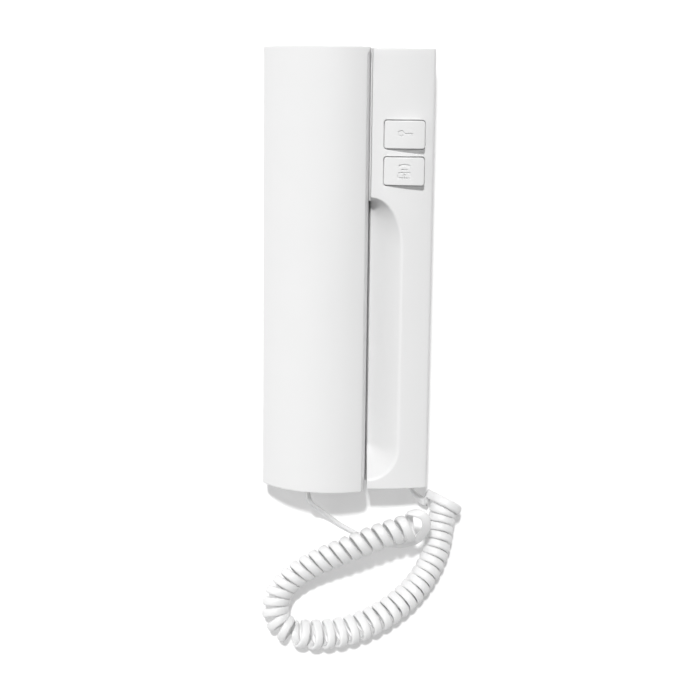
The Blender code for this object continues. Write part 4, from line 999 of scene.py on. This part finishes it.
@dataclass
class Handset:
    """The handset: a long crowned shell closed by a tray with two lobes."""

    wall: float = 2.0 * MM
    crest_inset: float = 33.3 * MM  # left side to the crest
    left_fall: float = 0.96  # shares of the shell's height
    right_fall: float = 0.175
    left_roundness: float = 0.865
    right_roundness: float = 0.42
    bevel_width: float = 1.6 * MM  # sloping strip along the right edge
    bevel_height: float = 4.5 * MM
    bevel_run_out: float = 4.6 * MM  # length over which the strip fades at the top
    bevel_least: float = 0.1
    corner_reach: float = 0.35 * MM  # softness of the strip's two edges
    end_radius: float = 0.6 * MM
    boss_radius: float = 3.2 * MM
    sharp: float = 26  # degrees, from which the shell's edges stay sharp
    lobe_width: float = 40.0 * MM
    lobe_corner: float = 10.0 * MM
    lobe_depth: float = 6.0 * MM
    lobe_round: float = 1.6 * MM
    lobes: tuple[tuple[float, float], ...] = ((0.0765, 0.044), (-0.0795, 0.038))
    screw_from_lobe: float = 6.5 * MM
    tray_edge: float = 0.7 * MM
    ear_hole: float = 1.2 * MM
    ear_ring: float = 6.0 * MM
    mouth_hole: float = 1.1 * MM
    mouth_pitch: float = 3.6 * MM
    low: Vector = field(default_factory=lambda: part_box("handset_front_cover")[0])
    high: Vector = field(default_factory=lambda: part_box("handset_front_cover")[1])
    parting: float = field(
        default_factory=lambda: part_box("handset_inner_cover")[1].z + GAP
    )

    def crown(self, inset: float = 0) -> list[np.ndarray]:
        """Draws the crowned face from right to left, moved in by a distance."""
        left = self.low.x
        height = self.high.z - self.parting
        crest = left + self.crest_inset
        face_right = self.high.x - self.bevel_width
        shares = [*np.linspace(1, 0, 17), *-np.sin(np.linspace(0, math.pi / 2, 33))[1:]]
        points = []
        for share in shares:
            if share > 0:
                x = crest + (face_right - crest) * share
                drop = self.right_fall * height * face_drop(share, self.right_roundness)
            else:
                x = crest + self.crest_inset * share
                drop = self.left_fall * height * face_drop(share, self.left_roundness)
            points.append((x, self.high.z - drop))
        face = np.array(points)
        along = unit(np.gradient(face, axis=0))
        return list(face + inset * np.column_stack([-along[:, 1], along[:, 0]]))

    def section(self, bevel: float, inset: float) -> np.ndarray:
        """Draws the shell's section.

        Args:
            bevel: Share of the full bevel, from 0 to 1.
            inset: How far in the outline is moved.

        Returns:
            Points of x and z, anticlockwise from the lower left.
        """
        left, right = self.low.x, self.high.x
        bottom = self.parting
        face = self.crown()
        # Towards the top end the strip fades, and the face reaches the side.
        face[0] = face[0] + (face[0] - face[1]) * self.bevel_share(1 - bevel)
        foot = (right, face[0][1] - self.bevel_height * bevel)
        reach = self.corner_reach * max(bevel, 0.3)
        points = [np.array((left, bottom)), np.array((right, bottom))]
        points += soft_corner((right, bottom), foot, face[0], reach)
        points += soft_corner(foot, face[0], face[1], reach)
        points += face[1:]
        outline = np.array(points)
        if inset:
            along = unit(np.roll(outline, -1, axis=0) - np.roll(outline, 1, axis=0))
            moved = outline + inset * np.column_stack([-along[:, 1], along[:, 0]])
            moved[0] = (left + inset, bottom)
            moved[1] = (right - inset, bottom)
            outline = moved
        return outline

    def bevel_share(self, missing: float) -> float:
        """Turns a missing share of the bevel into steps of the face's first side."""
        face = self.crown()
        return self.bevel_width * missing / float(face[0][0] - face[1][0])

    def bevel_at(self, y: float) -> float:
        """Says how much of the bevel there is at a place along the handset."""
        share = smoothstep((self.high.y - y) / self.bevel_run_out)
        return float(self.bevel_least + (1 - self.bevel_least) * share)

    def shell(self) -> bpy.types.Object:
        """Builds the front shell."""
        ends = quarter_round(self.end_radius)
        stations = [(self.low.y + inward, 1.0, drop) for inward, drop in ends]
        # Stations lie close together where the strip fades.
        span = np.linspace(self.low.y + 2 * MM, self.high.y - 8 * MM, 24)
        run_out = np.linspace(self.high.y - 7 * MM, self.high.y - 0.9 * MM, 14)
        stations += [(y, self.bevel_at(y), 0) for y in (*span, *run_out)]
        for inward, drop in reversed(ends):
            y = self.high.y - inward
            stations.append((y, self.bevel_at(y), drop))
        rings = [turned_to_y(self.section(bevel, drop), y) for y, bevel, drop in stations]
        shell = skin("handset_shell", rings, self.sharp)
        left, right = self.low.x + self.wall, self.high.x - self.wall
        roof = [p for p in self.crown(self.wall) if left < p[0] < right]
        foot = self.parting - OVERCUT
        walls = [(left, foot), (right, foot), (right, roof[0][1])]
        hollow = np.array([*walls, *roof, (left, roof[-1][1])])
        reach = self.high.y - self.wall
        inside = [turned_to_y(hollow, y) for y in (-reach, reach)]
        combine(shell, [skin("handset_hollow", inside)], sharp=self.sharp)
        low = self.tray_low() + self.wall + GAP
        beside = self.boss_radius + 1 * MM
        over = [z for x, z in self.crown() if abs(x - self.middle_x) < beside]
        high = float(min(over)) - self.wall / 2
        bore_top = high - 2.5 * self.wall
        bosses, bores = [], []
        for i, y in enumerate(self.screw_places()):
            place = (self.middle_x, y)
            bosses.append(peg(f"boss_{i}", place, self.boss_radius, low, high))
            bores.append(peg(f"bore_{i}", place, SCREW_HOLE, 0, bore_top))
        combine(shell, bosses, "UNION", self.sharp)
        ends_y = (self.low.y - OVERCUT, self.low.y + self.wall + OVERCUT)
        relief = middle("handset_strain_relief")
        bores.append(peg("lead_bore", relief, BUSH_HOLE, *ends_y, along_y=True))
        combine(shell, bores, sharp=self.sharp)
        return dress(shell, Slot.SHELL, Body.HANDSET, "handset_front_cover")

    @property
    def middle_x(self) -> float:
        """Gives X of the handset's middle."""
        return (self.low.x + self.high.x) / 2

    def screw_places(self) -> list[float]:
        """Gives Y of the two screws, just inside the lobes."""
        (ear, ear_length), (mouth, mouth_length) = self.lobes
        return [
            ear - ear_length / 2 - self.screw_from_lobe,
            mouth + mouth_length / 2 + self.screw_from_lobe,
        ]

    def tray_low(self) -> float:
        """Gives the height of the tray's flat underside."""
        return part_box("handset_inner_cover")[0].z + self.lobe_depth

    def lobe(
        self, name: str, y: float, length: float, inset: float, top: float
    ) -> bpy.types.Object:
        """Makes a lobe with a rounded lower edge, or the space inside it.

        Args:
            name: The solid's name.
            y: Its middle along the handset.
            length: Its length.
            inset: How far inside the lobe's outside it lies.
            top: Height of its upper end.

        Returns:
            The solid.
        """
        bottom = self.tray_low() - self.lobe_depth + inset
        rings = []
        for inward, drop in quarter_round(max(self.lobe_round - inset / 2, 0.4 * MM)):
            size = (self.lobe_width - 2 * (inset + drop), length - 2 * (inset + drop))
            corner = self.lobe_corner - inset - drop
            outline = rounded_rectangle((self.middle_x, y), size, corner)
            rings.append(level(outline, bottom + inward))
        rings.append(level(outline, top))
        return skin(name, rings)

    def tray(self) -> bpy.types.Object:
        """Builds the tray that closes the handset, with its sound holes."""
        bottom = self.tray_low()
        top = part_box("handset_inner_cover")[1].z
        x = self.middle_x
        size = np.array((self.high.x - self.low.x, self.high.y - self.low.y))
        rings = []
        for inward, drop in quarter_round(self.tray_edge):
            outline = rounded_rectangle((x, 0), tuple(size - 2 * drop), 1.2 * MM - drop / 2)
            rings.append(level(outline, bottom + inward))
        rings.append(level(outline, top))
        tray = skin("handset_tray", rings)
        lobes = [
            self.lobe(f"lobe_{i}", y, length, 0, bottom + self.wall / 2)
            for i, (y, length) in enumerate(self.lobes)
        ]
        combine(tray, lobes, "UNION")
        inner = rounded_rectangle((x, 0), tuple(size - 2 * self.wall), 0.8 * MM)
        inside = [level(inner, bottom + self.wall), level(inner, top + OVERCUT)]
        cutters = [skin("tray_hollow", inside)]
        cutters += [
            self.lobe(f"lobe_hollow_{i}", y, length, self.wall, top)
            for i, (y, length) in enumerate(self.lobes)
        ]
        combine(tray, cutters)
        through = (bottom - self.lobe_depth - OVERCUT, bottom)
        ear, mouth = self.lobes[0][0], self.lobes[1][0]
        spots = [((x, ear), self.ear_hole)]
        for i in range(6):
            angle = TURN * i / 6
            spot = (x + self.ear_ring * math.cos(angle), ear + self.ear_ring * math.sin(angle))
            spots.append((spot, self.ear_hole))
        spots += [((x + i * self.mouth_pitch, mouth), self.mouth_hole) for i in (-1, 0, 1)]
        holes = [
            peg(f"sound_hole_{i}", spot, radius, *through)
            for i, (spot, radius) in enumerate(spots)
        ]
        for i, y in enumerate(self.screw_places()):
            holes.append(peg(f"screw_hole_{i}", (x, y), SCREW_HOLE, 0, top))
            holes.append(peg(f"screw_seat_{i}", (x, y), SEAT_RADIUS, 0, bottom + SEAT_DEPTH))
        combine(tray, holes)
        return dress(tray, Slot.SHELL, Body.HANDSET, "handset_inner_cover")

    def build(self) -> None:
        """Builds the handset's shell and tray."""
        self.shell()
        self.tray()


# Base


@dataclass
class Console:
    """The raised right side of the base: its face, finger recess and key windows."""

    width: float = 30.0 * MM
    below_crest: float = 7.5 * MM  # handset's crest to the console's face beside it
    fall: float = 4.3 * MM
    roundness: float = 0.6
    edge_radius: float = 1.4 * MM
    recess_width: float = 15.2 * MM
    recess_depth: float = 13.0 * MM
    recess_from_top: float = 70.2 * MM
    recess_from_bottom: float = 4.8 * MM
    recess_top_end: float = 24.0 * MM
    recess_top_wall: float = 4.0 * MM
    recess_bottom_end: float = 16.0 * MM
    recess_curve: float = 1.3
    recess_lip: float = 1.2 * MM  # rounding of the recess's brim
    low: Vector = field(default_factory=lambda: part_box("base_front_housing")[0])
    high: Vector = field(default_factory=lambda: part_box("base_front_housing")[1])
    crest: float = field(default_factory=lambda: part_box("handset_front_cover")[1].z)

    @property
    def left(self) -> float:
        """Gives X of the console's left side."""
        return self.high.x - self.width

    def height(self, x: np.ndarray | float) -> np.ndarray:
        """Gives the height of the console's face above the wall."""
        share = np.clip((np.asarray(x) - self.left) / self.width, 0, 1)
        inner = self.crest - self.below_crest
        return inner - self.fall * face_drop(share, self.roundness)

    def recess_level(self, x: np.ndarray, y: np.ndarray, grow: float) -> np.ndarray:
        """Says where in the recess a place is.

        Args:
            x: Places across the console.
            y: Places along it.
            grow: How far the recess's outline is moved outwards.

        Returns:
            0 in its deepest line, 1 on its brim and more outside it.
        """
        width = self.recess_width + grow
        top_end, bottom_end = self.recess_top_end + grow, self.recess_bottom_end + grow
        top = self.high.y - self.recess_from_top + grow
        bottom = self.low.y + self.recess_from_bottom - grow
        across = np.maximum(x - self.left, 0)
        above = np.maximum(y - (top - top_end), 0)
        below = np.maximum(bottom + bottom_end - y, 0)
        least, most = np.full(np.shape(x), 1e-4), np.full(np.shape(x), 8.0)
        for _ in range(40):
            middle = (least + most) / 2
            reach = top_end - self.recess_top_wall * (1 - middle)
            outside = (across / (width * middle)) ** 2 + (above / reach) ** 2 > 1
            least = np.where(outside, middle, least)
            most = np.where(outside, most, middle)
        return np.where(above > 0, most, np.hypot(across / width, below / bottom_end))

    def recess_fall(self, x: np.ndarray, y: np.ndarray, grow: float = 0) -> np.ndarray:
        """Gives the recess's depth below the console's face, with a softened brim."""
        depth = self.recess_depth + grow
        raw = depth * (1 - self.recess_level(x, y, grow) ** self.recess_curve)
        ease = np.maximum(self.recess_lip - np.abs(raw), 0) / self.recess_lip
        return np.maximum(raw, 0) + ease**2 * self.recess_lip / 4


@dataclass
class Base:
    """The base: the low cradle, the console, and what shows of the inside."""

    console: Console
    handset: Handset
    wall: float = 2.0 * MM
    cradle_height: float = 14.0 * MM
    cradle_edge: float = 0.6 * MM
    end_radius: float = 0.6 * MM
    side_radius: float = 0.4 * MM  # console's upper left edge
    side_draft: float = 0.05 * MM  # lean of the wall between cradle and console
    # At the upper right, upper left, lower left and lower right
    plan_radii: tuple[float, ...] = (0.8 * MM, 0.5 * MM, 0.8 * MM, 0.8 * MM)
    pocket_clearance: float = 0.8 * MM
    window_clearance: float = 0.4 * MM
    window_flare: float = 0.12 * MM
    slot_half: float = 4.2 * MM
    rib_span: tuple[float, float] = (35 * MM, 107 * MM)
    rib_drop: float = 3.0 * MM  # from the console's face to its crest
    rib_fade: float = 4.0 * MM  # length over which each end sinks
    sharp: float = 32  # degrees, from which the housing's edges stay sharp

    def columns(self) -> np.ndarray:
        """Chooses where across the base its surface is sampled, closest at edges."""
        left, edge = self.console.left, self.console.high.x
        cradle = [
            self.console.low.x + inward for inward, _ in quarter_round(self.cradle_edge)
        ]
        cradle += list(np.linspace(-30 * MM, left, 6))
        brim = [
            left + self.side_draft + inward for inward, _ in quarter_round(self.side_radius)
        ]
        recess = np.linspace(left + 0.9 * MM, left + 18 * MM, 46)
        outer = np.linspace(left + 19 * MM, edge - 2 * MM, 10)
        rim = [edge - inward for inward, _ in reversed(quarter_round(self.console.edge_radius, 7))]
        return np.array([*cradle, *brim, *recess, *outer, *rim])

    def rows(self) -> np.ndarray:
        """Chooses where along it, closest where the recess curves most."""
        console = self.console
        ends = [inward for inward, _ in quarter_round(self.end_radius)]
        top = console.high.y - console.recess_from_top
        parts = [
            [console.low.y + e for e in ends],
            np.arange(console.low.y + 1.2 * MM, -84 * MM, 0.5 * MM),
            np.arange(-83 * MM, top - 27 * MM, 4 * MM),
            np.arange(top - 25 * MM, top - 7 * MM, 0.5 * MM),
            np.arange(top - 6.8 * MM, top + 1.5 * MM, 0.2 * MM),
            np.arange(top + 3 * MM, console.high.y - 1.2 * MM, 4 * MM),
            [console.high.y - e for e in reversed(ends)],
        ]
        return np.concatenate(parts)

    def surface(self) -> bpy.types.Object:
        """Builds the base as one solid block under its upper surface."""
        console = self.console
        xs = self.columns()
        x, y = np.meshgrid(xs, self.rows())
        is_console = np.zeros(len(xs), bool)
        is_console[np.searchsorted(xs, console.left, "left") + 1 :] = True
        face = console.height(x) - console.recess_fall(x, y)
        face -= edge_drop(x - (console.left + self.side_draft), self.side_radius)
        face -= edge_drop(console.high.x - x, console.edge_radius)
        low = self.cradle_height - edge_drop(x - console.low.x, self.cradle_edge)
        heights = np.where(is_console[None, :], face, low)
        heights -= edge_drop(y - console.low.y, self.end_radius)
        heights -= edge_drop(console.high.y - y, self.end_radius)
        points, faces = grid_block(np.stack([x, y, heights], axis=2), console.low.z)
        corners = [(corner.x, corner.y) for corner in (console.low, console.high)]
        points = round_plan_corners(points, *corners, self.plan_radii)
        return add_object("base_housing", points, faces, self.sharp)

    def recess_bulge(self) -> bpy.types.Object:
        """Makes the solid that the recess's own wall takes up inside the base."""
        console = self.console
        xs = np.linspace(console.left - self.wall, console.left + 19 * MM, 24)
        ys = np.linspace(console.low.y + 0.5 * MM, console.high.y - 66 * MM, 60)
        x, y = np.meshgrid(xs, ys)
        fall = console.recess_fall(x, y, self.wall)
        low = np.where(fall > 0.5 * MM, console.height(x) - fall, console.crest)
        grid = np.stack([x, y, low], axis=2)
        return add_object("recess_bulge", *grid_block(grid, console.crest + OVERCUT))

    def hollow(self) -> bpy.types.Object:
        """Makes the space inside the base, less what the recess and pockets take up."""
        console, wall = self.console, self.wall
        bottom, cradle = console.low.z - OVERCUT, self.cradle_height - wall
        left, right, step = console.low.x + wall, console.high.x - wall, console.left + wall
        xs = np.linspace(right, step, 13)
        roof = [(x, float(console.height(x)) - wall) for x in xs]
        outline = [(left, bottom), (right, bottom), *roof, (step, cradle), (left, cradle)]
        ends = (console.low.y + wall, console.high.y - wall)
        space = skin("base_hollow", [turned_to_y(np.array(outline), y) for y in ends])
        pockets = self.pockets("pocket_wall", self.pocket_clearance + wall, wall)
        return combine(space, [self.recess_bulge(), *pockets])

    def pockets(self, name: str, grow: float, drop: float) -> list[bpy.types.Object]:
        """Makes the pockets that take the handset's lobes, or their outsides.

        Args:
            name: What the solids' names start with.
            grow: How much wider than a lobe they are, all round.
            drop: How much deeper than a pocket's floor they go.

        Returns:
            The two solids.
        """
        handset = self.handset
        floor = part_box("handset_inner_cover")[0].z - GAP - drop
        made = []
        for i, (y, length) in enumerate(handset.lobes):
            size = (handset.lobe_width + 2 * grow, length + 2 * grow)
            corner = handset.lobe_corner + grow
            outline = rounded_rectangle((handset.middle_x, y), size, corner)
            rings = [level(outline, z) for z in (floor, self.console.crest + OVERCUT)]
            made.append(skin(f"{name}_{i}", rings))
        return made

    def window(self, name: str, key: str) -> bpy.types.Object:
        """Makes the cutter of a key's window, flared where it meets the face."""
        centre, size = Key.face_of(key)
        flare = self.window_flare
        rings = []
        for grow, above in (
            (0.0, -9 * MM),
            (0.0, -flare),
            (flare * 0.3, -flare * 0.3),
            (flare, 0.0),
            (flare * 1.3, 6 * MM),
        ):
            wide = self.window_clearance + grow
            grown = (size[0] + 2 * wide, size[1] + 2 * wide)
            outline = rounded_rectangle(centre, grown, Key.corner + wide)
            rings.append(level(outline, self.console.height(outline[:, 0]) + above))
        return skin(name, rings)

    def seam_rib(self) -> None:
        """Builds the rib that closes most of the seam beside the handset's upper half."""
        inner, outer = self.console.left - 0.95 * MM, self.console.left - 0.05 * MM
        low = self.cradle_height - 1 * MM
        top = float(self.console.height(self.console.left)) - self.rib_drop
        rings = []
        for y in np.linspace(*self.rib_span, 9):
            ease = smoothstep(min(abs(y - end) for end in self.rib_span) / self.rib_fade)
            crest = top - (1 - float(ease)) * 2 * MM
            section = [
                (inner, low),
                (outer, low),
                (outer, crest - 0.3 * MM),
                (outer - 0.2 * MM, crest),
                (inner + 0.3 * MM, crest - 0.1 * MM),
                (inner, crest - 0.5 * MM),
            ]
            rings.append(np.array([(x, y, z) for x, z in section]))
        dress(skin("console_seam_rib", rings, 30), Slot.SHELL, Body.BASE)

    def build(self) -> None:
        """Builds the housing with its hollow, pockets, windows and holes."""
        self.seam_rib()
        housing = self.surface()
        combine(housing, [self.hollow()], sharp=self.sharp)
        cutters = self.pockets("pocket", self.pocket_clearance, 0)
        cutters.append(self.window("door_window", "door_button"))
        cutters.append(self.window("call_window", "call_button"))
        nose = (middle("hook_lever")[0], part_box("hook_lever")[0].y + 3 * MM)
        slot = rounded_rectangle(nose, (2 * self.slot_half, 2 * self.slot_half), 0.6 * MM)
        through = (self.cradle_height - self.wall - OVERCUT, self.cradle_height + OVERCUT)
        cutters.append(skin("hook_slot", [level(slot, z) for z in through]))
        end = self.console.low.y
        for name, node, radius, depth in (
            ("housing_hole", "housing_screw", SCREW_HOLE, self.wall + OVERCUT),
            ("housing_seat", "housing_screw", SEAT_RADIUS, SEAT_DEPTH),
            ("base_lead_hole", "base_strain_relief", BUSH_HOLE, self.wall + OVERCUT),
        ):
            reach = (end - OVERCUT, end + depth)
            cutters.append(peg(name, middle(node), radius, *reach, along_y=True))
        combine(housing, cutters, sharp=self.sharp)
        dress(housing, Slot.SHELL, Body.BASE, "base_front_housing")


def edge_drop(inward: np.ndarray, radius: float) -> np.ndarray:
    """Gives the drop of a rounded edge at a distance in from its side."""
    out = np.clip(radius - inward, 0, radius)
    return radius - np.sqrt(radius**2 - out**2)


# Keys


class Pictogram(Enum):
    """The generic signs engraved on the keys."""

    DOOR_KEY = "key"
    TELEPHONE = "telephone"


def arc(
    centre: tuple[float, float], radius: float, start: float, end: float, steps: int = 12
) -> list[tuple[float, float]]:
    """Draws part of a circle, between angles in degrees."""
    turns = np.radians(np.linspace(start, end, steps + 1))
    return [
        (centre[0] + radius * math.cos(t), centre[1] + radius * math.sin(t)) for t in turns
    ]


# Strokes of each sign: points in millimetres from the key's middle, and a width.
STROKES: dict[Pictogram, list[tuple[list[tuple[float, float]], float]]] = {
    Pictogram.DOOR_KEY: [
        (arc((-1.75, 0.45), 1.25, 0, 185), 0.8),
        (arc((-1.75, 0.45), 1.25, 180, 365), 0.8),
        ([(-0.35, 0.45), (1.75, 0.45), (3.85, 0.45)], 0.7),
        ([(1.9, 0.4), (1.9, -0.75)], 0.55),
        ([(3.3, 0.4), (3.3, -0.75)], 0.55),
    ],
    Pictogram.TELEPHONE: [
        (arc((0.1, -1.9), 4.9, 59, 121), 1.2),
        ([(-1.5, 0.75), (0.0, 0.75), (1.6, 0.75)], 0.75),
        ([(-3.0, -3.2), (-2.6, -0.6), (2.9, -0.6), (3.3, -3.2)], 0.8),
        ([(-3.0, -3.2), (0.1, -3.2), (3.3, -3.2)], 0.8),
        (arc((0.15, -1.95), 0.6, 0, 185, 8), 0.4),
        (arc((0.15, -1.95), 0.6, 180, 365, 8), 0.4),
    ],
}


@dataclass
class Key:
    """A crowned key with an engraved sign, a lip behind the face and a plunger."""

    node: str
    body: Body
    sign: Pictogram
    console: Console
    corner: ClassVar[float] = 1.2 * MM
    lip: ClassVar[float] = 1.1 * MM
    proud_left: float = 0.7 * MM
    proud_right: float = 4.8 * MM
    crown: float = 1.0 * MM
    edge_radius: float = 0.4 * MM
    lip_thickness: float = 1.2 * MM
    lip_below: float = 2.5 * MM  # console's face to the lip
    plunger_radius: float = 2.4 * MM
    engraved: float = 0.7 * MM
    engraved_step: float = 0.03 * MM  # keeps the strokes' floors apart

    @classmethod
    def face_of(cls, node: str) -> tuple[tuple[float, ...], tuple[float, float]]:
        """Reads a key's middle and its face's size from the CAD, each in x and y."""
        low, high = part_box(node)
        size = (high.x - low.x - 2 * cls.lip, high.y - low.y - 2 * cls.lip)
        return middle(node, "xy"), size

    def height(self, x: np.ndarray) -> np.ndarray:
        """Gives the height of the crowned face above the wall."""
        (place, _), (width, _) = self.face_of(self.node)
        half = width / 2
        share = (x - place) / half
        left = self.console.height(place - half) + self.proud_left
        right = self.console.height(place + half) + self.proud_right
        return left + (right - left) * (share + 1) / 2 + self.crown * (1 - share**2)

    def stroke(
        self, name: str, points: list[tuple[float, float]], width: float, depth: float
    ) -> bpy.types.Object:
        """Makes the cutter of one engraved stroke.

        Args:
            name: The cutter's name.
            points: The stroke's line, in millimetres from the key's middle.
            width: Its width in millimetres.
            depth: How deep it cuts.

        Returns:
            The cutter, which follows the crowned face.
        """
        centre, _ = self.face_of(self.node)
        line = np.array(points)
        along = unit(np.gradient(line, axis=0))
        side = np.column_stack([-along[:, 1], along[:, 0]]) * width / 2
        outline = np.vstack([line + side, (line - side)[::-1]]) * MM + centre
        heights = self.height(outline[:, 0])
        low = level(outline, heights - depth)
        return skin(name, [low, level(outline, heights + OVERCUT)])

    def build(self) -> None:
        """Builds the key and cuts its sign."""
        centre, size = self.face_of(self.node)
        bottom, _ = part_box(self.node)
        reach = size[0] / 2 + self.lip
        lip_gap = self.console.height(centre[0] + reach) - 2.3 * MM
        cap_bottom = float(lip_gap) - self.lip_thickness
        cap = rounded_rectangle(centre, size, self.corner)
        lip_size = (size[0] + 2 * self.lip, size[1] + 2 * self.lip)
        lip = rounded_rectangle(centre, lip_size, 0.4 * MM)
        away = cap - np.array(centre)
        plunger = np.array(centre) + unit(away) * self.plunger_radius
        under = self.console.height(lip[:, 0]) - self.lip_below
        rings = [
            level(plunger, bottom.z),
            level(plunger, cap_bottom),
            level(lip, cap_bottom),
            level(lip, under),
            level(cap, self.console.height(cap[:, 0]) - self.lip_below),
        ]
        for inward, drop in quarter_round(self.edge_radius):
            inner = (size[0] - 2 * inward, size[1] - 2 * inward)
            outline = rounded_rectangle(centre, inner, max(self.corner - inward, 0.3 * MM))
            rings.append(level(outline, self.height(outline[:, 0]) - drop))
        last = rings[-1][:, :2]
        for share in np.linspace(0.92, 0.02, 14):
            outline = np.array(centre) + (last - centre) * share
            rings.append(level(outline, self.height(outline[:, 0])))
        key = skin(f"{self.node}_cap", rings)
        strokes = []
        for i, (points, width) in enumerate(STROKES[self.sign]):
            depth = self.engraved - i * self.engraved_step
            strokes.append(self.stroke(f"{self.node}_stroke_{i}", points, width, depth))
        combine(key, strokes)
        dress(key, Slot.KEY, self.body, self.node)


# CAD nodes that keep their own shape


def dress_cad_nodes() -> None:
    """Gives each CAD node that still shows the finish of its material slot."""
    slots = {
        Slot.PLATE: "base_back_plate hook_lever",
        Slot.BOARD: "circuit_board",
        Slot.BLACK: "door_switch call_switch hook_switch ringer_buzzer "
        "capacitor_1 capacitor_2 transistor",
        Slot.TERMINAL: "terminal_block",
        Slot.STEM: "door_switch_stem call_switch_stem",
        Slot.RUBBER: "earpiece_gasket microphone_grommet",
    }
    named = {node: slot for slot, nodes in slots.items() for node in nodes.split()}
    for name, node in sorted(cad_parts.items()):
        if node.hide_render:
            continue
        slot = named.get(name, Slot.STEEL)
        node.data.materials.clear()
        node.data.materials.append(finish(slot))
        LOG.info("%s: dressed as %s", name, slot.value)


# Studio


@dataclass
class Studio:
    """White paper, a key light from the top, soft fill from the left, a camera."""

    camera_place: tuple[float, float, float] = (0.002528, 0.081999, 0.720659)
    camera_tilt: float = math.radians(9.800)
    camera_turn: float = math.radians(0.047)
    camera_roll: float = math.radians(0.745)
    lens: float = 74.01  # millimetres, on a 36 mm sensor
    key_slope: tuple[float, float] = (0.07, -0.59)  # run of a shadow per unit of height
    key_strength: float = 2.15
    key_width: float = math.radians(4.0)
    fill_from: tuple[float, float, float] = (-0.85, 0.10, 0.52)
    fill_strength: float = 0.66
    fill_width: float = math.radians(70)
    sky_strength: float = 0.31
    paper_size: float = 6.0

    def camera(self) -> None:
        """Places the camera."""
        data = bpy.data.cameras.new("camera")
        data.lens = self.lens
        data.sensor_width = 36.0
        data.clip_start = 0.01
        turned = (
            Matrix.Rotation(-self.camera_tilt, 4, "X")
            @ Matrix.Rotation(self.camera_turn, 4, "Y")
            @ Matrix.Rotation(self.camera_roll, 4, "Z")
        )
        camera = new_object("camera", data)
        camera.matrix_world = Matrix.Translation(self.camera_place) @ turned
        bpy.context.scene.camera = camera

    def sun(self, name: str, travel: Vector, strength: float, width: float) -> None:
        """Adds a distant lamp whose light travels in a direction."""
        data = bpy.data.lights.new(name, "SUN")
        data.energy = strength
        data.angle = width
        lamp = new_object(name, data)
        lamp.rotation_euler = travel.to_track_quat("-Z", "Y").to_euler()

    def lights(self) -> None:
        """Adds the lamps and the surrounding light."""
        across, along = self.key_slope
        self.sun("key", Vector((across, along, -1)), self.key_strength, self.key_width)
        self.sun("fill", -Vector(self.fill_from), self.fill_strength, self.fill_width)
        world = bpy.data.worlds.new("sky")
        world.use_nodes = True
        tree = world.node_tree
        seen = add_node(tree, "ShaderNodeLightPath").outputs["Is Camera Ray"]
        levels = {"Value": seen, "To Min": self.sky_strength, "To Max": 1.0}
        strength = add_node(tree, "ShaderNodeMapRange", levels)
        white = {"Color": (1.0, 1.0, 1.0, 1.0), "Strength": strength}
        wire(tree.nodes["Background"], white)
        bpy.context.scene.world = world

    def paper(self) -> None:
        """Lays the white paper that the phone lies on."""
        half = self.paper_size / 2
        corners = [(x * half, y * half, 0) for x, y in PLAN_CORNERS]
        mesh = bpy.data.meshes.new("paper")
        mesh.from_pydata(corners, [], [(0, 1, 2, 3)])
        mesh.materials.append(StudioPaper().make())
        new_object("paper", mesh)

    def build(self) -> None:
        """Sets up camera, light and floor."""
        self.camera()
        self.lights()
        self.paper()
        bpy.context.scene.view_settings.view_transform = "Standard"


def main() -> None:
    """Builds the studio and the phone, piece by piece."""
    logging.basicConfig(level=logging.INFO, format="%(name)s: %(message)s")
    Studio().build()
    FlatCord().build()
    handset = Handset()
    handset.build()
    console = Console()
    Base(console, handset).build()
    Key("door_button", Body.DOOR_BUTTON, Pictogram.DOOR_KEY, console).build()
    Key("call_button", Body.CALL_BUTTON, Pictogram.TELEPHONE, console).build()
    dress_cad_nodes()


if __name__ == "__main__":
    main()
